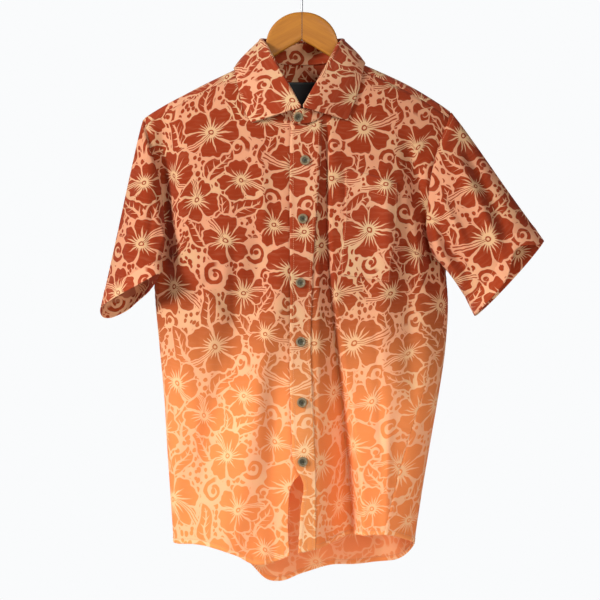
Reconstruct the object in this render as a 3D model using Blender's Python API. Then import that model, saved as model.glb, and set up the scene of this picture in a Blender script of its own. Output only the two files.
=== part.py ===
"""Short-sleeved aloha shirt hanging on a wooden hanger.

Every cloth piece is a thin wall. Its points come from one hanging form, given by the rings and
edges in the tables below. X runs to the wearer's left, Y to the wearer's back and Z up, with the
origin at the inside top of the hook. "Drop" is the distance in millimetres below the crown of the
hanger, and "girth" runs round the body: 0 centre front, 1 left side, 2 centre back, 3 right side.
"""
import bpy
import numpy as np

MM = 0.001                  # one millimetre in metres
HOOK_RISE = 85.0            # hanger's crown up to the inside of the hook
CLOTH = 1.2                 # thickness of a single wall of cotton
BAND = 1.6                  # thickness of the interlined collar pieces
SEAM = 0.3                  # clear space between pieces at a seam
EDGE_IN = 0.22              # what each panel's edge gives up for that
RIDGE_RADIUS = 13.0         # roundness of the shoulder where it lies over the hanger
BLUNT = 2.5                 # how full the body's sections are, 2 being an ellipse
YOKE_FRONT = 12.0           # front yoke seam, below the shoulder's ridge
YOKE_BACK = 172.0           # drop of the back yoke seam at the centre
YOKE_SLOPE = 22.0           # how much lower that seam is at the armholes
NECK_WIDTH = 64.0           # half width of the neck seam
NECK_SIDE = 64.0            # drop of the neck seam at the shoulder
NECK_FRONT = 172.0          # drop of the neck seam at the centre front
NECK_BACK = 74.0            # drop of the neck seam at the centre back
LAP = 2.0                   # how far the two fronts stand apart where they overlap
LAP_REACH = 45.0            # sideways distance over which that dies away
GIRTH_STEPS = (0.002, 0.5)  # steps for the normals, by girth and drop
OVER_STEPS = (0.5, 0.5)     # the same by x and way over the ridge
CORNER = 0.995              # share of the neck's half width at which the yoke's corner sits
NET_LEVEL = 130.0           # drop at which a front's top row takes its x from its columns
FOLD_ENDS = (0.3, 0.12)     # share of a fold's length over which it rises and dies away
UNDERARM_CLOSE = 0.55       # how much closer together the net's rows are at the underarm
LOOP = 2 * np.pi
BUTTON_GAP = 0.8            # a button's clear height, which its thread spans
PLACKET_TOP = 0.13          # share of its first cell by which the placket ends below the stand
NECK_CENTRE = 8.0           # how far the neck's middle lies to the front
STAND_LIFT = 2.9            # the stand's lower edge above the middle of the body's cloth
STAND_UNDER = (3.0, 4.9)    # the stand's upper edge, in from the roll line and below it
STAND_END = (14.0, 5.0)     # the stand's ends past the centre: how far a station goes, and its fall
LEAF_ROWS = 6               # net rows from the roll to the leaf's edge
LEAF_CLEAR = 3.0            # the collar's edge stands off the body's middle by this
LEAF_BOW = 3.0              # how far the leaf bows out between its roll and its edge
WIRE_RADIUS = 1.5
HOOK_RADIUS = 20.0          # inside radius of the hook's bend
HOOK_TURN = (-62, 188)      # the ring's start and end, in degrees from straight sideways
WIRE_SIDES = 8
HANGER_HALF = 6.0           # half the thickness of the hanger's wood
HANGER_SIDES = 12
HANGER_SLIM = (0.35, 200, 18)   # share by which an arm's end thins, where from and over how far
ROWS_ABOVE = 9              # net rows along the armhole and along the side seam
ROWS_BELOW = 17
YOKE_ROWS = 8               # net rows across the yoke, its columns on a shoulder and at the neck
YOKE_SHOULDER = 8
YOKE_NECK = 13
SLEEVE_ROWS = 11            # net rows down a sleeve
STATIONS = 33               # net columns round the collar
POCKET_COLUMNS = (5, 10)    # the left front's net lines that the pocket covers
POCKET_ROWS = (4, 11)
COLUMNS = {"left": (2, 3, 4, 6), "right": (4, 4, 7), "back": (6, 12, 6)}
SIGN = {"left": 1, "right": -1}

# Body rings: drop, left edge as seen (the wearer's right), right edge, depth in front and behind.
BODY = {
    "drop": (0, 150, 230, 300, 385, 430, 500, 582, 642, 732, 795, 880),
    "low_x": (-247, -244, -234, -227, -222, -219.5, -213, -205.5, -202, -196, -192, -189),
    "high_x": (239, 236, 223, 217, 214.5, 218, 214.5, 202.5, 192, 177, 168, 162),
    "front": (56, 58, 60, 64, 68, 70, 72, 72, 70, 66, 62, 60),
    "back": (50, 50, 54, 58, 62, 64, 66, 66, 65, 62, 60, 58),
}
# The shoulder's ridge, where the cloth lies over the hanger.
RIDGE = {
    "x": (-262, -236, -165, -98, -60, 0, 60, 93, 178, 222, 250),
    "drop": (181, 160, 119, 86, 68, 44, 66, 80, 121, 150, 173),
}
# The armhole's distance in from the body's side, by its share of the way down to the underarm.
ARMHOLE = {
    "share": (0, 0.25, 0.55, 0.8, 0.93, 1),
    "left_front": (14, 25, 27, 24, 14, 0),
    "left_back": (14, 20, 21, 18, 11, 0),
    "right_front": (7, 11, 13, 13, 9, 0),
    "right_back": (7, 10, 12, 12, 8, 0),
}
ARM_TOP = {"left": 150.0, "right": 160.0}
ARM_FOOT = {"left": 385.0, "right": 385.0}
# The side seams' place round the body: the body hangs with a slight twist.
SIDE_SEAM = {
    "drop": (385, 460, 546, 661, 800, 880),
    "left": (1.0, 0.84, 0.70, 0.585, 0.51, 0.50),
    "right": (3.0, 2.97, 2.93, 2.88, 2.85, 2.84),
}
# The curved shirt-tail hem all the way round.
HEM = {
    "girth": (-1.15, -1.0, -0.8, -0.5, -0.3, -0.22, -0.15, 0, 0.15, 0.3, 0.51, 0.75, 1, 1.3, 1.6,
              1.8, 1.95, 2.07, 2.15, 2.25, 2.35, 2.5, 2.75, 3.0, 3.2),
    "drop": (800, 796, 794, 794, 807, 818, 819, 804, 794, 781, 776, 786, 798, 825, 834,
             838, 851, 864, 860, 834, 816, 805, 799, 796, 794),
}
# The placket's two long edges and the under front's own edge below the last button.
PLACKET = {
    "drop": (172, 275, 370, 550, 628, 677, 698, 737, 806),
    "edge": (-17, -18.5, -17.5, -17.5, -14.5, -10, 1, -1.5, -6),
    "seam": (27, 23, 17, 13, 16, 18, 18.5, 19, 20),
    "under": (12, 12, 12, 12, 10, 4, -14, -20, -19),
}
# Lines of x that the panels' nets keep to on their way down; two of them carry the pocket's sides.
GUIDES = {
    "drop": (172, 282, 407, 550, 800),
    "pocket_near": (62, 62, 62, 56, 46),
    "pocket_far": (132, 137, 135, 116, 86),
    "right_near": (-62, -62, -62, -60, -58),
    "right_far": (-130, -132, -132, -128, -118),
    "back_left": (130, 130, 130, 120, 100),
    "back_right": (-130, -130, -130, -125, -115),
}
# Main folds: face (1 front, -1 back), the line's top and foot, half width and how far it stands out.
FOLDS = (
    {"face": 1, "x": 62, "drop": 330, "to_x": 50, "to_drop": 960, "width": 22, "lift": -17},
    {"face": 1, "x": 90, "drop": 470, "to_x": 82, "to_drop": 960, "width": 10, "lift": 9},
    {"face": 1, "x": 118, "drop": 190, "to_x": 130, "to_drop": 560, "width": 20, "lift": 6},
    {"face": 1, "x": 150, "drop": 230, "to_x": 165, "to_drop": 600, "width": 14, "lift": -6},
    {"face": 1, "x": -95, "drop": 260, "to_x": -75, "to_drop": 960, "width": 24, "lift": 7},
    {"face": 1, "x": -140, "drop": 330, "to_x": -125, "to_drop": 960, "width": 18, "lift": -6},
    {"face": 1, "x": -45, "drop": 420, "to_x": -38, "to_drop": 960, "width": 15, "lift": -5},
    {"face": -1, "x": -20, "drop": 250, "to_x": -25, "to_drop": 1000, "width": 24, "lift": 9},
    {"face": -1, "x": 60, "drop": 330, "to_x": 75, "to_drop": 1000, "width": 22, "lift": -9},
    {"face": -1, "x": -110, "drop": 260, "to_x": -120, "to_drop": 1000, "width": 26, "lift": -8},
    {"face": -1, "x": 130, "drop": 380, "to_x": 120, "to_drop": 1000, "width": 18, "lift": 7},
)
# The collar, from the centre front round to the centre back, wearer's left then mirrored. The roll
# line is where the leaf turns over; the edge is the leaf's free edge, laid on the body.
ROLL = {
    "x": (2, 15, 29.5, 43.5, 54.5, 61.5, 53, 31, 0),
    "y": (-59, -53, -44, -31, -15, 4, 23, 35, 39),
    "drop": (147, 123, 98, 72, 50, 40, 37, 37, 37),
}
LEAF_EDGE = {
    "left_x": (67, 75, 83, 88, 91.5, 93, 86, 48, 0),
    "left_over": (-50.7, -43.8, -35.4, -25, -13, 0, 21, 36, 36),
    "right_x": (74, 84, 91, 96, 99, 100, 90, 50, 0),
    "right_over": (-50, -44, -35.3, -24.3, -12, 0, 21, 36, 36),
}
# Where each station's foot is on the neck seam, in degrees from the centre front.
NECK_TURN = (0, 18, 36, 55, 72, 90, 120, 152, 180, 208, 240, 270, 288, 305, 324, 342, 360)
LAST = 16                   # number of the collar's last station, back at the centre front
# The leaf's first rows about the roll line: how far out from it, and how far below it.
ROLL_ROWS = ((-3.0, 3.0), (-2.1, 0.9), (0, 0), (2.1, 0.9), (3.2, 3.4))
LABEL = {"width": 66, "top": 101, "height": 45, "thickness": 0.8, "inside": 2.0}
# A sleeve's soft roll over its seam: where it is fullest, and how far it goes in front, on the low
# front side and below. Angles run round the armhole from the shoulder down the front.
SLEEVE = {"clear": 2.3, "lean": 4.0, "full": 0.16, "in_front": 6, "in_low": 5, "forward": 12,
          "forward_low": 14, "down_low": 8, "low_turn": 0.355, "low_width": 0.38,
          "under_turn": 0.48, "under_width": 0.5}
# Sleeves: the mouth as a tilted oval, with its centre, its half axes and how far its back dips,
# how far the underarm seam turns to the back and how far it swings clear of the body.
MOUTH = {
    "left": {"centre": (306.5, -34, 399), "outward": (51.5, 6, -54), "forward": (0, -50, -4),
             "dip": 10, "turn": 0.25, "swing": 11},
    "right": {"centre": (-254.5, -20, 416), "outward": (-46, 22, 24), "forward": (20, -58, -9),
              "dip": 27, "turn": 0.45, "swing": 15},
}
# The hanger's arm: half length along X, drop of its top and of its underside.
HANGER = {
    "x": (0.15, 12, 24, 36, 44.5, 50, 53.3, 54.8, 57, 66, 92, 165, 200, 212, 216),
    "top": (0, 1.2, 5, 12.5, 21.5, 31, 42, 58, 74, 81, 92.5, 126, 146.5, 155.5, 160),
    "under": (42, 49, 56, 63.5, 69, 72.5, 75, 80, 85, 91, 110, 151, 170, 174, 171),
}
# The wire from the crown up to its bend: x and height.
SHANK = ((0, 0.4), (0, 12), (0, 24), (0, 33), (2.2, 39))
# A button's rings, as radius and height, and the places of the six on the placket.
BUTTON_RINGS = ((6.4, 0), (7.2, 0.7), (7.2, 2.0), (6.5, 2.6), (5.2, 2.5), (4.3, 1.7))
BUTTON_SIDES = 18
BUTTONS = ((4.5, 227.5), (1.5, 313.5), (-2.5, 407), (-2.5, 493), (0.0, 581), (1.0, 667))

MATERIALS = {
    "printed_cotton": ((0.62, 0.14, 0.055, 1), 0.85, 0.0),
    "black_label": ((0.02, 0.02, 0.02, 1), 0.7, 0.0),
    "coconut_shell": ((0.10, 0.07, 0.045, 1), 0.45, 0.0),
    "varnished_wood": ((0.60, 0.30, 0.09, 1), 0.35, 0.0),
    "steel_wire": ((0.35, 0.35, 0.36, 1), 0.3, 1.0),
}


def clear_scene():
    """Remove every object that the file starts with."""
    for thing in list(bpy.data.objects):
        bpy.data.objects.remove(thing, do_unlink=True)


def smooth(at, xs, ys):
    """Cubic Hermite curve through a table's points, with slopes from its neighbours."""
    at, xs, ys = np.asarray(at, float), np.asarray(xs, float), np.asarray(ys, float)
    slopes = np.gradient(ys, xs)
    at = np.clip(at, xs[0], xs[-1])
    cell = np.clip(np.searchsorted(xs, at, side="right") - 1, 0, len(xs) - 2)
    span = xs[cell + 1] - xs[cell]
    t = (at - xs[cell]) / span
    return ((1 + 2 * t) * (1 - t) ** 2 * ys[cell] + t * (1 - t) ** 2 * span * slopes[cell]
            + t * t * (3 - 2 * t) * ys[cell + 1] + t * t * (t - 1) * span * slopes[cell + 1])


def ramp(t):
    """Smooth step from 0 to 1."""
    t = np.clip(t, 0, 1)
    return t * t * (3 - 2 * t)


def body(name, drop):
    """One column of the body's table at these drops."""
    return smooth(drop, BODY["drop"], BODY[name])


def ridge(x):
    """Drop of the shoulder's ridge."""
    return smooth(x, RIDGE["x"], RIDGE["drop"])


def fold_lift(x, drop, face):
    """How far the main folds stand out of the hanging form: soft ridges and troughs on lines."""
    lift = np.zeros(np.broadcast(x, drop).shape)
    for fold in FOLDS:
        along = (drop - fold["drop"]) / (fold["to_drop"] - fold["drop"])
        line = fold["x"] + (fold["to_x"] - fold["x"]) * along
        ends = ramp(along / FOLD_ENDS[0]) * ramp((1 - along) / FOLD_ENDS[1])
        across = np.exp(-((x - line) / fold["width"]) ** 2)
        lift = lift + np.where(np.sign(face) == fold["face"], fold["lift"] * ends * across, 0)
    return lift


def over_shoulder(x, over):
    """Body point by its x and its way over the ridge: minus in front, plus behind.

    The drop grows with the square of the way, as over a round bar, and the depth follows the way
    until it nears the body's own depth. Towards the sides the section closes like a blunt oval.
    """
    drop = ridge(x) + over ** 2 / (2 * RIDGE_RADIUS)
    return section(x, drop, over)


def section(x, drop, over):
    """Depth of the section at x, for a given way over the ridge."""
    x, drop = np.broadcast_arrays(x, drop)
    low, high = body("low_x", drop), body("high_x", drop)
    share = np.clip(np.abs(2 * x - low - high) / (high - low), 0, 1)
    lens = (1 - share ** BLUNT) ** (1 / BLUNT)
    deep = np.where(over < 0, body("front", drop), body("back", drop))
    way = np.abs(over) + 1e-9
    reach = (way ** -3 + deep ** -3) ** (-1 / 3)
    reach = reach + fold_lift(x, drop, -over)
    return np.stack([x, np.sign(over) * lens * reach, drop], -1)


def round_body(girth, drop):
    """Body point by its girth and drop; x follows a sine, so the sides are round."""
    turn = girth * np.pi / 2
    low, high = body("low_x", drop), body("high_x", drop)
    x = (low + high) / 2 + (high - low) / 2 * np.sin(turn)
    way = np.sqrt(2 * RIDGE_RADIUS * np.maximum(drop - ridge(x), 0))
    return section(x, drop, -np.sign(np.cos(turn)) * way)


def girth_at(x, drop):
    """Girth of a point on the front, from its x."""
    low, high = body("low_x", drop), body("high_x", drop)
    return np.arcsin(np.clip((2 * x - low - high) / (high - low), -1, 1)) * 2 / np.pi


def with_normals(surface, first, second, steps):
    """Points of a surface of two parameters, with unit normals from small steps each way."""
    points = surface(first, second)
    along = surface(first + steps[0], second) - surface(first - steps[0], second)
    across = surface(first, second + steps[1]) - surface(first, second - steps[1])
    normals = np.cross(along, across)
    return points, normals / np.linalg.norm(normals, axis=-1, keepdims=True)


def patch(top, foot, start, finish, share_across, share_down):
    """Fill four edge curves with a net: the sum of both ruled nets less the corners' net."""
    a, b = share_across[:, None, None], share_down[None, :, None]
    ruled = (1 - b) * top[:, None] + b * foot[:, None] + (1 - a) * start[None] + a * finish[None]
    corners = ((1 - a) * (1 - b) * top[0] + a * (1 - b) * top[-1]
               + (1 - a) * b * foot[0] + a * b * foot[-1])
    return ruled - corners


def grid_faces(rows, columns, closed):
    """Triangles of a net, each cell cut along the same diagonal."""
    i, j = np.meshgrid(np.arange(rows if closed else rows - 1), np.arange(columns - 1), indexing="ij")
    i, j = i.ravel(), j.ravel()
    a, b = i * columns + j, (i + 1) % rows * columns + j
    return np.concatenate([np.stack([a, b, b + 1], 1), np.stack([a, b + 1, a + 1], 1)])


def border(rows, columns, closed):
    """The net's border as directed edges, so that a rim can be hung on it."""
    index = np.arange(rows * columns).reshape(rows, columns)
    if closed:
        around = np.concatenate([index, index[:1]])
        loops = [around[::-1, 0], around[:, -1]]
    else:
        loops = [np.concatenate([index[:, 0][::-1], index[0, 1:], index[1:, -1],
                                 index[-1, ::-1][1:]])]
    return np.concatenate([np.stack([loop[:-1], loop[1:]], 1) for loop in loops])


def add_object(name, points, faces, material):
    """One named object in metres from points given as x, y and drop in millimetres."""
    place = np.stack([points[:, 0], points[:, 1], -HOOK_RISE - points[:, 2]], 1) * MM
    mesh = bpy.data.meshes.new(name)
    mesh.from_pydata(place.tolist(), [], faces.tolist())
    mesh.validate()
    mesh.shade_smooth()
    thing = bpy.data.objects.new(name, mesh)
    bpy.context.collection.objects.link(thing)
    thing.data.materials.append(material)
    return thing


def wall(name, points, normals, thickness, material, shift=0.0, closed=False, flip=False):
    """A cloth wall: both faces of a net moved off its middle, joined by a rim."""
    rows, columns = points.shape[:2]
    shift = np.broadcast_to(shift, points.shape[:2])[..., None]
    outer = points + normals * (shift + thickness / 2)
    inner = points + normals * (shift - thickness / 2)
    faces, edges = grid_faces(rows, columns, closed), border(rows, columns, closed)
    count = rows * columns
    rim = np.concatenate([np.stack([edges[:, 0], edges[:, 1] + count, edges[:, 1]], 1),
                          np.stack([edges[:, 0], edges[:, 0] + count, edges[:, 1] + count], 1)])
    every = np.concatenate([faces, faces[:, ::-1] + count, rim[:, ::-1]])
    if flip:
        every = every[:, ::-1]
    return add_object(name, np.concatenate([outer.reshape(-1, 3), inner.reshape(-1, 3)]),
                      every, material)


def net_normals(points, closed=False):
    """Unit normals of a net from its neighbours."""
    if closed:
        ring = np.concatenate([points[-1:], points, points[:1]])
        along = (ring[2:] - ring[:-2])
    else:
        along = np.gradient(points, axis=0)
    normals = np.cross(along, np.gradient(points, axis=1))
    return normals / np.linalg.norm(normals, axis=-1, keepdims=True)


def arm_drop(side, share):
    """Drop of the armhole at a share of its height."""
    return ARM_TOP[side] + (ARM_FOOT[side] - ARM_TOP[side]) * share


def arm_x(side, face, share):
    """The armhole's edge seen from the front, inside the body's own outline."""
    inset = smooth(share, ARMHOLE["share"], ARMHOLE[side + "_" + face])
    if side == "left":
        return body("high_x", arm_drop(side, share)) - inset
    return body("low_x", arm_drop(side, share)) + inset


def arm_point(side, face, share):
    """Point of the armhole's edge on the body."""
    x, drop = arm_x(side, face, share), arm_drop(side, share)
    way = np.sqrt(2 * RIDGE_RADIUS * np.maximum(drop - ridge(x), 0))
    return section(x, drop, -way if face == "front" else way)


def arm_girth(side, face, share):
    """Girth of the armhole's edge."""
    girth = girth_at(arm_x(side, face, share), arm_drop(side, share))
    girth = np.where(share >= 1, SIGN[side], girth)
    return girth if face == "front" else (2 - girth) % 4


def share_at_seam(side, face):
    """Share of the armhole's height at which a yoke seam meets it."""
    share = 0.1
    for _ in range(12):
        x = arm_x(side, face, share)
        drop = ridge(x) + YOKE_FRONT if face == "front" else yoke_seam(x)
        share = (drop - ARM_TOP[side]) / (ARM_FOOT[side] - ARM_TOP[side])
    return share


def yoke_seam(x):
    """Drop of the back yoke seam, a little lower towards the armholes."""
    return YOKE_BACK + YOKE_SLOPE * (x / 230) ** 2


def shares_down(first, count):
    """Shares of the armhole's height, somewhat closer together at the underarm."""
    even = np.linspace(0, 1, count)
    closer = even + UNDERARM_CLOSE * (np.sin(even * np.pi / 2) - even)
    return first + (1 - first) * closer


def neck_drop(x):
    """The neck seam in front: a quarter oval from the centre to the shoulder."""
    return NECK_SIDE + (NECK_FRONT - NECK_SIDE) * np.sqrt(1 - (x / NECK_WIDTH) ** 2)


def hem(girth):
    """Drop of the hem at a girth."""
    return smooth(girth, HEM["girth"], HEM["drop"])


def side_edge(side, face, rows_above, rows_below):
    """A panel's side edge, as girths and drops: the armhole, then the side seam to the hem."""
    share = shares_down(share_at_seam(side, face), rows_above)
    turned = 4 if side == "right" and face == "front" else 0
    arm = np.stack([arm_girth(side, face, share), arm_drop(side, share)], 1)
    foot = hem(SIDE_SEAM[side][-2])
    drop = np.linspace(ARM_FOOT[side], foot, rows_below)[1:]
    girth = smooth(drop, SIDE_SEAM["drop"], SIDE_SEAM[side]) - turned
    return np.concatenate([arm, np.stack([girth, drop], 1)])


def guided(lines, columns):
    """Girths of a panel's net: even steps between its guide lines, in every row."""
    lines = np.stack(lines, 0)
    spans = [np.linspace(first, last, count, endpoint=False)
             for first, last, count in zip(lines[:-1], lines[1:], columns)]
    return np.concatenate(spans + [lines[-1:]])


def guide(name, drop):
    """Girth of one of the lines that the panels' nets keep to."""
    return girth_at(smooth(drop, GUIDES["drop"], GUIDES[name]), drop)


def front_net(side):
    """Girths and drops of a front: neck and yoke seam on top, armhole and side seam, hem."""
    sign, edge_name = SIGN[side], "edge" if side == "left" else "under"
    finish = side_edge(side, "front", ROWS_ABOVE, ROWS_BELOW)
    down = (finish[:, 1] - finish[0, 1]) / (finish[-1, 1] - finish[0, 1])
    drop = NECK_FRONT + (hem(0.0) - NECK_FRONT) * down
    first = girth_at(placket_line(edge_name, drop), drop)
    if side == "left":
        lines = [first, girth_at(placket_line("seam", drop), drop), guide("pocket_near", drop),
                 guide("pocket_far", drop), finish[:, 0]]
    else:
        lines = [first, guide("right_near", drop), guide("right_far", drop), finish[:, 0]]
    girth = guided(lines, COLUMNS[side])
    top_x = round_body(girth[:, 0], np.full(len(girth), NET_LEVEL))[:, 0]
    corner = np.argmin(np.abs(top_x - sign * NECK_WIDTH))
    top_x[corner] = sign * NECK_WIDTH * CORNER
    on_neck = np.abs(top_x) < NECK_WIDTH * CORNER ** 2
    top_drop = np.where(on_neck, neck_drop(np.where(on_neck, top_x, 0)), ridge(top_x) + YOKE_FRONT)
    top_drop[-1] = finish[0, 1]
    top_girth = girth_at(top_x, top_drop)
    top_girth[-1] = finish[0, 0]
    girth += (top_girth - girth[:, 0])[:, None] * (1 - down) ** 3
    across = np.linspace(0, 1, len(girth))[:, None]
    foot_drop = hem(girth[:, -1])
    drops = top_drop[:, None] * (1 - down) + foot_drop[:, None] * down
    drops += across ** 3 * (finish[:, 1] - top_drop[-1] * (1 - down) - foot_drop[-1] * down)
    return np.stack([girth, drops], -1)


def placket_line(name, drop):
    """X of one of the placket's lines, or of the under front's edge."""
    return smooth(drop, PLACKET["drop"], PLACKET[name])


def lap_shift(points, side):
    """The fronts stand apart where the left one laps over the right one."""
    return SIGN[side] * LAP * np.exp(-(points[..., 0] / LAP_REACH) ** 2)


def drawn_in(points, sideways, lengthways):
    """Take a panel's edges in by these distances, so that its neighbours stay clear of it."""
    points = points.copy()
    for edge, inner, amount in ((points[0], points[1], sideways), (points[-1], points[-2], sideways),
                                (points[:, 0], points[:, 1], lengthways),
                                (points[:, -1], points[:, -2], lengthways)):
        step = inner - edge
        edge += step / np.linalg.norm(step, axis=-1, keepdims=True) * amount
    return points


def facing_out(points, normals):
    """The normals, turned so that they point away from the body's middle line."""
    middle = points * (0, 0, 1) + (0, 0, 20)
    inward = (normals * (points - middle)).sum(-1, keepdims=True) < 0
    return np.where(inward, -normals, normals)


def laid_out(surface, net, steps):
    """Points and outward normals of a panel's net, its edges drawn in for the seams."""
    points, normals = with_normals(surface, net[..., 0], net[..., 1], steps)
    return drawn_in(points, EDGE_IN, EDGE_IN), facing_out(points, normals)


def front(side, material):
    """A front panel; its points, normals and shift serve the pieces that lie on it."""
    points, normals = laid_out(round_body, front_net(side), GIRTH_STEPS)
    shift = lap_shift(points, side)
    wall("front_" + side, points, normals, CLOTH, material, shift, flip=side == "left")
    return points, normals, shift


def back(material):
    """The back panel below the yoke, from side seam to side seam round the back."""
    start = side_edge("left", "back", ROWS_ABOVE - 1, ROWS_BELOW)
    finish = side_edge("right", "back", ROWS_ABOVE - 1, ROWS_BELOW)
    down = (start[:, 1] - start[0, 1]) / (start[-1, 1] - start[0, 1])
    drop = start[:, 1]
    lines = [start[:, 0], 2 - guide("back_left", drop), 2 - guide("back_right", drop), finish[:, 0]]
    girth = guided(lines, COLUMNS["back"])
    top_drop = yoke_seam(round_body(girth[:, 0], YOKE_BACK + YOKE_SLOPE / 2)[:, 0])
    top_drop[0], top_drop[-1] = start[0, 1], finish[0, 1]
    drops = top_drop[:, None] * (1 - down) + hem(girth[:, -1])[:, None] * down
    across = np.linspace(0, 1, len(girth))[:, None]
    drops += across ** 3 * (finish[:, 1] - drops[-1]) + (1 - across) ** 3 * (start[:, 1] - drops[0])
    points, normals = laid_out(round_body, np.stack([girth, drops], -1), GIRTH_STEPS)
    wall("back", points, normals, CLOTH, material, flip=True)


def yoke_end(side, count):
    """The yoke's end at an armhole, from the front seam over the ridge to the back seam."""
    first = -np.sqrt(2 * RIDGE_RADIUS * YOKE_FRONT)
    x = arm_x(side, "back", share_at_seam(side, "back"))
    last = np.sqrt(2 * RIDGE_RADIUS * (yoke_seam(x) - ridge(x)))
    over = np.linspace(first, last, count)
    x = np.full(count, arm_x(side, "front", 0.0))
    for _ in range(12):
        share = (ridge(x) + over ** 2 / (2 * RIDGE_RADIUS) - ARM_TOP[side]) \
            / (ARM_FOOT[side] - ARM_TOP[side])
        x = np.where(over < 0, arm_x(side, "front", share), arm_x(side, "back", share))
    return np.stack([x, over], 1)


def yoke(material):
    """The yoke: from the front seams and the neck seam over the ridge to the back seam."""
    start, finish = yoke_end("right", YOKE_ROWS), yoke_end("left", YOKE_ROWS)
    turn = np.linspace(-1, 1, YOKE_NECK) * np.pi / 2
    neck_x = NECK_WIDTH * np.sin(turn)
    drop = NECK_SIDE + (NECK_BACK - NECK_SIDE) * np.cos(turn)
    neck_over = np.sqrt(2 * RIDGE_RADIUS * np.maximum(drop - ridge(neck_x), 0))
    right_x = np.linspace(start[0, 0], -NECK_WIDTH * CORNER, YOKE_SHOULDER)
    left_x = np.linspace(NECK_WIDTH * CORNER, finish[0, 0], YOKE_SHOULDER)
    x = np.concatenate([right_x, neck_x[1:-1], left_x])
    over = np.concatenate([np.full(YOKE_SHOULDER, start[0, 1]), neck_over[1:-1],
                           np.full(YOKE_SHOULDER, finish[0, 1])])
    across = np.linspace(0, 1, len(x))
    foot_x = start[-1, 0] + (finish[-1, 0] - start[-1, 0]) * across
    foot = np.stack([foot_x, np.sqrt(2 * RIDGE_RADIUS * (yoke_seam(foot_x) - ridge(foot_x)))], 1)
    net = patch(np.stack([x, over], 1), foot, start, finish, across,
                np.linspace(0, 1, YOKE_ROWS))
    points, normals = laid_out(over_shoulder, net, OVER_STEPS)
    wall("yoke", points, normals, CLOTH, material)
    return points, normals


def armhole_ring(side):
    """The armhole's whole ring, on the panels' own points, and each point's angle round it.

    It runs down the front from the yoke seam, up the back and over the yoke's end.
    """
    front_share = shares_down(share_at_seam(side, "front"), ROWS_ABOVE)
    back_share = shares_down(share_at_seam(side, "back"), ROWS_ABOVE - 1)[-2::-1]
    end = yoke_end(side, YOKE_ROWS)[-2:0:-1]
    end_points = over_shoulder(end[:, 0], end[:, 1])
    end_share = (end_points[:, 2] - ARM_TOP[side]) / (ARM_FOOT[side] - ARM_TOP[side])
    points = np.concatenate([arm_point(side, "front", front_share),
                             arm_point(side, "back", back_share), end_points])
    share = np.clip(np.concatenate([front_share, back_share, end_share]), 0, 1)
    turn = np.arccos(1 - 2 * share)
    behind = np.arange(len(turn)) >= ROWS_ABOVE
    behind[ROWS_ABOVE + len(back_share):] = end[:, 1] > 0
    return points, np.where(behind, LOOP - turn, turn)


def near_turn(turn, middle, width):
    """1 at a place round the armhole, dying away to both sides of it."""
    return np.exp(-((turn - middle * LOOP) / width) ** 2)[:, None]


def sleeve(side, material):
    """A sleeve: straight lines from the armhole's ring to the mouth's oval, with a soft roll.

    The roll carries the cloth forward and in over the seam, and the underarm hangs a little.
    """
    ring, turn = armhole_ring(side)
    mouth = MOUTH[side]
    at = turn + mouth["turn"] * np.sin(turn / 2) ** 2
    oval = (np.array(mouth["centre"]) + np.cos(at)[:, None] * mouth["outward"]
            + np.sin(at)[:, None] * mouth["forward"])
    oval[:, 2] += mouth["dip"] * np.maximum(-np.sin(at), 0)
    way = np.linspace(0, 1, SLEEVE_ROWS)[None, :, None]
    lines = (oval - ring) / np.linalg.norm(oval - ring, axis=1, keepdims=True)
    out = ring * (1 / 220 ** 2, 1 / 60 ** 2, 0)
    out /= np.linalg.norm(out, axis=1, keepdims=True)
    leave = lines + SLEEVE["lean"] * out
    first = ring + leave / np.linalg.norm(leave, axis=1, keepdims=True) * SLEEVE["clear"]
    net = first[:, None] + (oval - first)[:, None] * way
    roll = way[..., 0] / SLEEVE["full"] * np.exp(1 - way[..., 0] / SLEEVE["full"])
    in_front = np.maximum(np.sin(turn), 0)[:, None]
    low = near_turn(turn, SLEEVE["low_turn"], SLEEVE["low_width"])
    under = near_turn(turn, SLEEVE["under_turn"], SLEEVE["under_width"])
    inward = SLEEVE["in_front"] * in_front ** 2 + SLEEVE["in_low"] * low - mouth["swing"] * under
    net[..., 0] -= SIGN[side] * roll * inward
    net[..., 1] -= roll * (SLEEVE["forward"] * in_front + SLEEVE["forward_low"] * low)
    net[..., 2] += roll * SLEEVE["down_low"] * low
    normals = net_normals(net, closed=True)
    wall("sleeve_" + side, net, normals, CLOTH, material, closed=True, flip=True)


def round_neck(station, name, sign, table=ROLL):
    """A column of a collar table, carried on round the back with its own sign for the far side."""
    near = table.get("left_" + name, table.get(name))
    far = table.get("right_" + name, table.get(name))
    values = list(near) + [sign * value for value in far[-2::-1]]
    return smooth(station, np.arange(len(values)), values)


def roll_line(station):
    """Points of the line where the collar turns over."""
    points = np.stack([round_neck(station, "x", -1), round_neck(station, "y", 1),
                       round_neck(station, "drop", 1)], -1)
    points[:, 1] -= LAP * (near_end(station) - near_end(LAST - station))
    return points


def near_end(station):
    """1 at a front end of the collar, dying away round the neck."""
    return np.exp(-(station / 1.6) ** 2)


def away(points):
    """Level directions out from the neck's own middle."""
    flat = points * (1, 1, 0) + (0, NECK_CENTRE, 0)
    return flat / np.linalg.norm(flat, axis=-1, keepdims=True)


def leaf_edge(station):
    """Points of the leaf's free edge, just clear of the body that it lies on."""
    x = round_neck(station, "x", -1, LEAF_EDGE)
    over = round_neck(station, "over", 1, LEAF_EDGE)
    points, normals = with_normals(over_shoulder, x, over, OVER_STEPS)
    return points + LEAF_CLEAR * facing_out(points, normals)


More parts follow.
